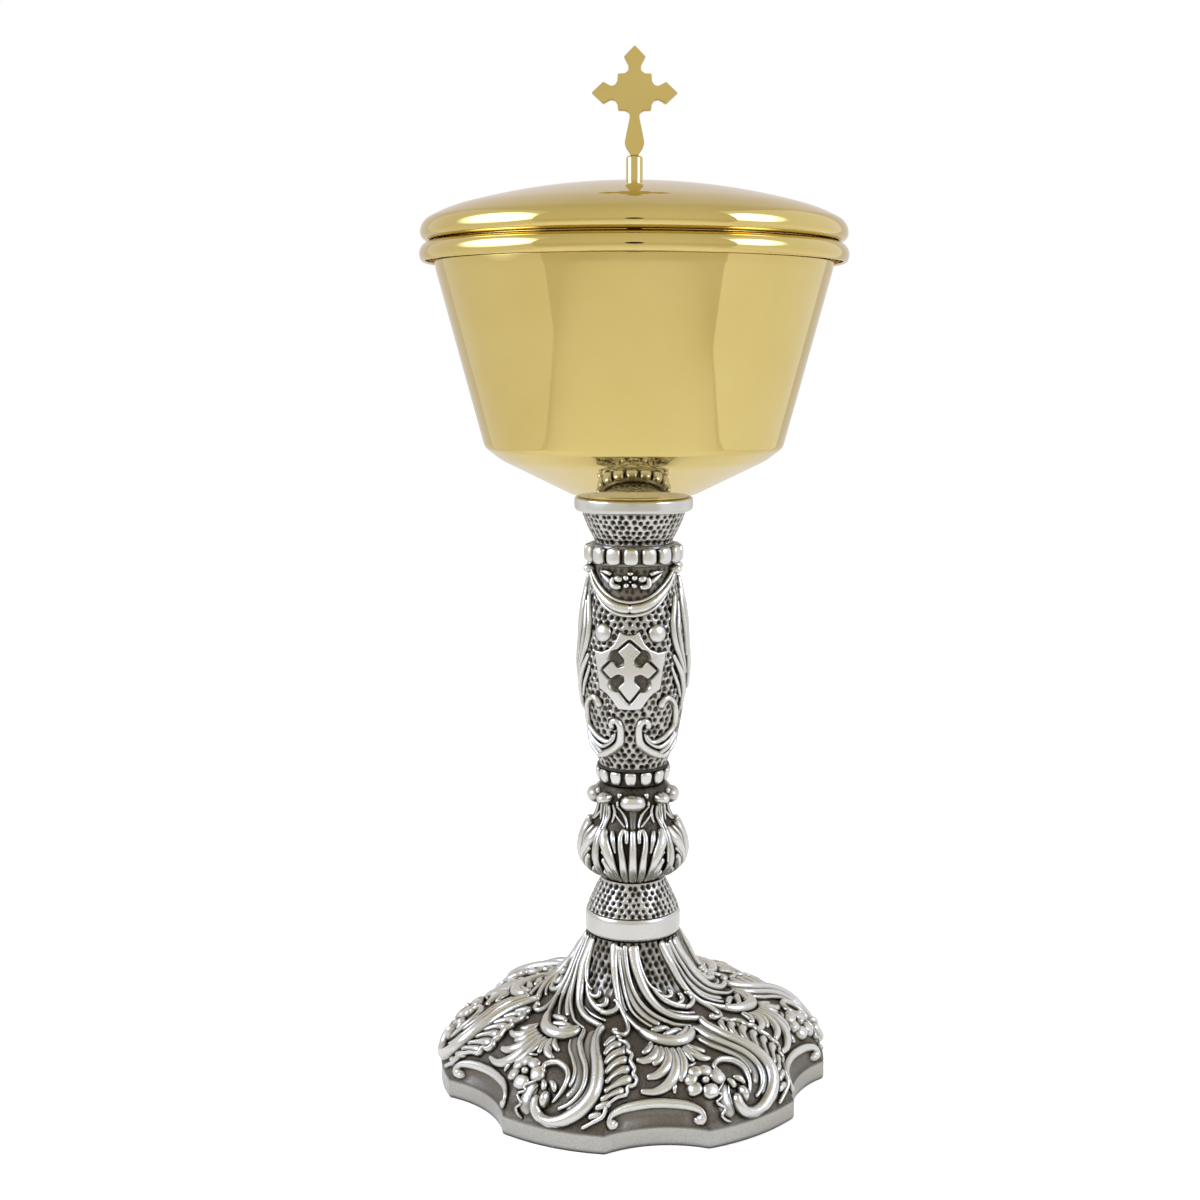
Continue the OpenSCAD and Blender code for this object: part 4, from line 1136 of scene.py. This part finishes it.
# Ribs of the ruffled shell on the outer side of the big scroll: they end on its lobed edge
footShells = [
    ([(47.6, 33.4), (48.6, 31.4), (50.6, 30), (52.8, 29.9)], [0.7, 1.0, 1.4], [0.9, 1.2, 1.5]),
    ([(48.6, 36.6), (50, 34), (52.6, 32.4), (55.8, 32.4)], [0.7, 1.1, 1.7], [0.9, 1.3, 1.7]),
    ([(49.6, 39.6), (51.4, 37), (54.6, 35.2), (58, 34.9)], [0.7, 1.2, 1.8], [0.9, 1.3, 1.7]),
    ([(50.4, 42.4), (52.4, 40.2), (55.6, 38.4), (58.8, 38.1)], [0.7, 1.2, 1.8],
     [0.9, 1.3, 1.7]),
    ([(51, 44.8), (53.4, 43), (56.6, 41.6), (59.8, 41.6)], [0.7, 1.2, 1.8], [0.9, 1.3, 1.7]),
    ([(51, 46.8), (54, 45.6), (57.4, 44.6), (60.6, 45)], [0.8, 1.4, 2.1], [1.0, 1.4, 1.8]),
    ([(50.2, 48.4), (53, 47.6), (55.8, 47.2), (58.2, 47.5)], [0.8, 1.3, 1.7],
     [1.0, 1.3, 1.5]),
    ([(49, 49.8), (51.4, 49.2), (54.2, 49)], [0.8, 1.2, 1.4], [1.0, 1.2, 1.4]),
    ([(47.4, 51), (49.6, 50.6), (51.8, 50.6)], [0.8, 1.1, 1.2], [1.0, 1.1, 1.2]),
    # lobed edge
    ([(51.4, 29.4), (53.8, 30), (54.2, 31.4), (56.8, 31.9), (58.4, 33.6), (58, 35.2),
      (59.8, 36.6), (59.2, 38.8), (60, 40.4), (60.8, 42), (60.2, 43.4), (61.4, 44.8),
      (60.6, 46.2), (58.4, 46.4), (58.4, 47.9), (56, 48.2), (54.4, 48.6), (52.6, 49.4),
      (51.9, 50.6), (49, 51.4), (45.8, 52.1)], [0.6, 0.7, 0.7, 0.7, 0.7, 0.6],
     [1.6, 1.8, 1.8, 1.8, 1.6, 1.1]),
    # shadowed floor of the shell
    ([(48.6, 32), (51.4, 35), (53.6, 38.4), (55.2, 42), (55.2, 45.4), (52.8, 48),
      (49.2, 50.4)], [1.0, 2.0, 2.3, 2.5, 2.3, 1.7, 0.8], [0.4, 0.5, 0.5, 0.4], 0.4),
]
# Frame round each notch's panel
footFrames = [
    ([(-3.9, 51.5), (-5.1, 51.9), (-6.3, 51.3), (-5.6, 50.6), (-2.6, 50.1), (2, 49.9),
      (7, 49.8), (12, 49.9), (16.6, 50.1), (19.6, 50.6), (20.3, 51.3), (19.1, 51.9),
      (17.9, 51.5)],
     [1.6, 2.0, 2.1, 2.1, 2.1, 2.1, 2.1, 2.0, 1.6], [1.5, 1.5, 1.4, 1.4, 1.4, 1.5, 1.5]),
]
# Ruffled leaf between flower and hook
footRuffles = [
    ([(29.2, 46.6), (27.6, 47.5), (26, 48.3), (27, 49), (24.9, 49.7), (25.9, 50.3), (27, 50.8),
      (25.6, 51.4), (26.6, 51.9), (28.2, 52.2)], [0.9, 1.0, 1.0, 0.9], [1.3, 1.5, 1.4, 1.1]),
    ([(29.4, 46.8), (28.2, 48.8), (28, 50.4), (29, 51.8)], [2.6, 4.4, 4.8, 3.4],
     [0.8, 1.0, 1.0, 0.7], 0.75),
    ([(30.4, 47.4), (29.4, 49), (29.6, 50.6)], [0.6, 0.9, 0.6], [1.1, 1.3, 0.9]),
    ([(23.4, 40.4), (20.8, 41.2), (18, 41.6)], [0.7, 1.2, 0.8], [0.8, 1.1, 0.8]),
    ([(14.6, 46.2), (13.6, 47.2), (13.6, 48.4)], [1.0, 1.5, 1.0], [0.9, 1.1, 0.8]),
    ([(15.8, 43.6), (14, 44.4), (12.6, 45.6)], [0.7, 1.1, 0.7], [0.8, 1.0, 0.7]),
]
# Petals round the flower's bead: azimuth, crest radius, half sizes, turn
footPetals = [(21.3, 43.1, 1.9, 1.75, 20), (25.0, 43.2, 1.9, 1.75, -20),
              (28.1, 45.2, 2.3, 2.1, -60), (24.3, 47.8, 2.3, 2.05, 0),
              (19.6, 47.2, 2.0, 1.9, 30), (19.4, 45.0, 1.9, 1.7, 70)]
# Beads: heart of the flower, knob of the first flute, end of the hook, ends of the frame
footBeads = [(23.6, 45.5, 1.2, 1.15, 2.1), (-9.7, 27.1, 1.05, 1.0, 1.5),
             (34, 49.5, 1.45, 2.3, 2.8), (-5.4, 51.6, 1.5, 1.5, 1.7),
             (19.6, 51.6, 1.5, 1.5, 1.7)]

for name, strokes, sides, fuller in (
        ("footFlutes", footFlutes, 12, 1.12), ("footRidges", footRidges, 12, 1.25),
        ("footScrolls", footScrolls, 20, 1.15), ("footLeaves", footLeaves, 14, 1.25),
        ("footFronds", footFronds, 12, 1.8), ("footShells", footShells, 10, 2.0),
        ("footFrames", footFrames, 14, 1.3)):
    relief = bmesh.new()
    layOut(relief, strokes, sides, fuller)
    roundAxis(relief, foot["units"])
    finishCasting(name, relief, [], sharp=75)

blooms = bmesh.new()
layOut(blooms, footRuffles)
for azimuth, radius, across, along, turned in footPetals:
    addBoss(blooms, footGround, azimuth, crestRadius(radius), across, along, 1.65,
            turned=turned, square=0.75)
for azimuth, radius, across, along, high in footBeads:
    addBoss(blooms, footGround, azimuth, crestRadius(radius), across, along, high)
roundAxis(blooms, foot["units"])
finishCasting("footBlooms", blooms, [], sharp=75)
print("foot made")


# Fastenings keep their made shape and only get a material
for name, material, slot in (("bowl_boss", rawBrass, "raw_brass"),
                             ("finial_washer", rawBrass, "raw_brass"),
                             ("finial_nut", rawBrass, "raw_brass"),
                             ("tie_rod", zincSteel, "fastener_steel"),
                             ("tie_washer", zincSteel, "fastener_steel"),
                             ("lock_washer", zincSteel, "fastener_steel"),
                             ("tie_nut", zincSteel, "fastener_steel")):
    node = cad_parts[name]
    node.data.materials.clear()
    node.data.materials.append(material)
print("fastenings finished")


studio = {
    "behind": "#ffffff", "front": "#f1eee9", "side": "#e0e0e1", "back": "#e5dfdd",
    "floor": "#f5f3ef", "floorGlow": 0.36, "floorBounce": 0.04, "floorSize": 6.0,
    # white panels each side, with a lamp shining through: x, middle, size, glow, and the
    # lamp's strength, place (y, z) and reach
    "panels": [(-0.34, 0.03, 0.62, 0.62, 0.24, 10.0, (-0.125, 0.345), 0.21),
               (0.33, 0.04, 0.62, 0.62, 0.42, 10.0, (-0.2, 0.345), 0.17)],
    # ceiling: height, size and glow; lens: half sizes of the dark oval round the camera
    "panelColour": "#cbdaff", "ceiling": (0.9, 0.7, 0.7), "lens": (0.036, 0.055),
    "lensColour": "#17161a", "lensPlace": (0, -0.45, 0.1938)}
world = bpy.data.worlds.new("studio")
bpy.context.scene.world = world
world.use_nodes = True
tree = world.node_tree
tree.nodes.clear()
heading = addNode(tree, "ShaderNodeSeparateXYZ", links={
    0: addNode(tree, "ShaderNodeTexCoord").outputs["Generated"]})
share = addNode(tree, "ShaderNodeMapRange", {"From Min": -1.0, "From Max": 1.0},
                {"Value": heading.outputs["Y"]})
walls = addRamp(tree, share.outputs[0], [(0.05, studio["front"]), (0.5, studio["side"]),
                                         (0.95, studio["back"])])
room = addNode(tree, "ShaderNodeBackground", {"Strength": 1.0}, {"Color": walls})
backdrop = addNode(tree, "ShaderNodeBackground",
                   {"Color": linear(studio["behind"]), "Strength": 1.0})
seen = addNode(tree, "ShaderNodeLightPath").outputs["Is Camera Ray"]
both = addNode(tree, "ShaderNodeMixShader",
               links={0: seen, 1: room.outputs[0], 2: backdrop.outputs[0]})
addNode(tree, "ShaderNodeOutputWorld", links={0: both.outputs[0]})


# A flat round sheet in the studio
def addDisc(name, across, high, material, place, turned):
    bm = bmesh.new()
    bmesh.ops.create_circle(bm, cap_ends=True, segments=96, radius=1)
    bmesh.ops.scale(bm, vec=(across, high, 1), verts=bm.verts)
    bmesh.ops.rotate(bm, cent=(0, 0, 0), matrix=Matrix.Rotation(math.radians(turned), 3, "X"),
                     verts=bm.verts)
    bmesh.ops.translate(bm, verts=bm.verts, vec=place)
    mesh = bpy.data.meshes.new(name)
    bm.to_mesh(mesh)
    bm.free()
    mesh.materials.append(material)
    disc = bpy.data.objects.new(name, mesh)
    bpy.context.scene.collection.objects.link(disc)
    return disc


# White paper under and behind the object
paper, tree, surface = startMaterial("matteWhitePaper")
surface.inputs["Base Color"].default_value = linear(studio["floor"])
surface.inputs["Roughness"].default_value = 0.9
surface.inputs["Emission Color"].default_value = (1, 1, 1, 1)
# most of the glow is for the camera alone, which keeps the far floor white
lit = addNode(tree, "ShaderNodeMath", {1: studio["floorGlow"], 2: studio["floorBounce"]},
              {0: addNode(tree, "ShaderNodeLightPath").outputs["Is Camera Ray"]},
              operation="MULTIPLY_ADD")
tree.links.new(lit.outputs[0], surface.inputs["Emission Strength"])
addDisc("floor", studio["floorSize"], studio["floorSize"], paper, (0, 0, 0), 0)
# Black cloth round the lens, which only shows mirrored in the gilt
cloth, tree, surface = startMaterial("blackCloth")
surface.inputs["Base Color"].default_value = linear(studio["lensColour"])
surface.inputs["Roughness"].default_value = 0.8
hood = addDisc("lensHood", *studio["lens"], cloth, studio["lensPlace"], 90)
hood.visible_camera = False


# A soft lamp that the camera doesn't see; its node tree is returned for its strength
def addPanel(name, place, towards, wide, high, colour, glossy=True):
    lamp = bpy.data.lights.new(name, "AREA")
    lamp.shape = "RECTANGLE"
    lamp.size, lamp.size_y = wide, high
    lamp.energy = math.pi * wide * high
    lamp.use_nodes = True
    lamp.node_tree.nodes["Emission"].inputs["Color"].default_value = colour
    panel = bpy.data.objects.new(name, lamp)
    panel.location = place
    panel.rotation_euler = Vector(towards).to_track_quat("-Z", "Y").to_euler()
    panel.visible_camera = False
    panel.visible_glossy = glossy
    bpy.context.scene.collection.objects.link(panel)
    return lamp.node_tree


for k, (x, y, wide, high, glow, hot, lamp, reach) in enumerate(studio["panels"]):
    tree = addPanel(f"sidePanel{k}", (x, y, high / 2 + 0.005), (-x, 0, 0), wide, high,
                    linear(studio["panelColour"]))
    where = addNode(tree, "ShaderNodeNewGeometry").outputs["Position"]
    gap = addNode(tree, "ShaderNodeVectorMath", {1: (x, *lamp)}, {0: where},
                  operation="DISTANCE")
    shine = addNode(tree, "ShaderNodeMapRange",
                    {"From Min": 0.05, "From Max": reach, "To Min": hot, "To Max": glow},
                    {"Value": gap.outputs["Value"]}, interpolation_type="SMOOTHSTEP")
    tree.links.new(shine.outputs[0], tree.nodes["Emission"].inputs["Strength"])
height, size, glow = studio["ceiling"]
tree = addPanel("ceiling", (0, 0.1, height), (0, 0, -1), size, size, (1, 1, 1, 1), False)
tree.nodes["Emission"].inputs["Strength"].default_value = glow

# Camera, level with the middle of the cup and looking a little down
view = {"place": (0, -0.434, 0.1938), "pitch": 81.53, "roll": 0.13, "lens": 50.07,
        "sensor": 36, "shift": -0.0279, "near": 0.01}
camera = bpy.data.cameras.new("camera")
camera.lens = view["lens"]
camera.sensor_width = view["sensor"]
camera.shift_x = view["shift"]
camera.clip_start = view["near"]
eye = bpy.data.objects.new("camera", camera)
eye.location = view["place"]
eye.rotation_euler = (Matrix.Rotation(math.radians(view["pitch"]), 3, "X")
                      @ Matrix.Rotation(math.radians(view["roll"]), 3, "Z")).to_euler()
bpy.context.scene.collection.objects.link(eye)
bpy.context.scene.camera = eye
bpy.context.scene.view_settings.view_transform = "Standard"
print("studio made")
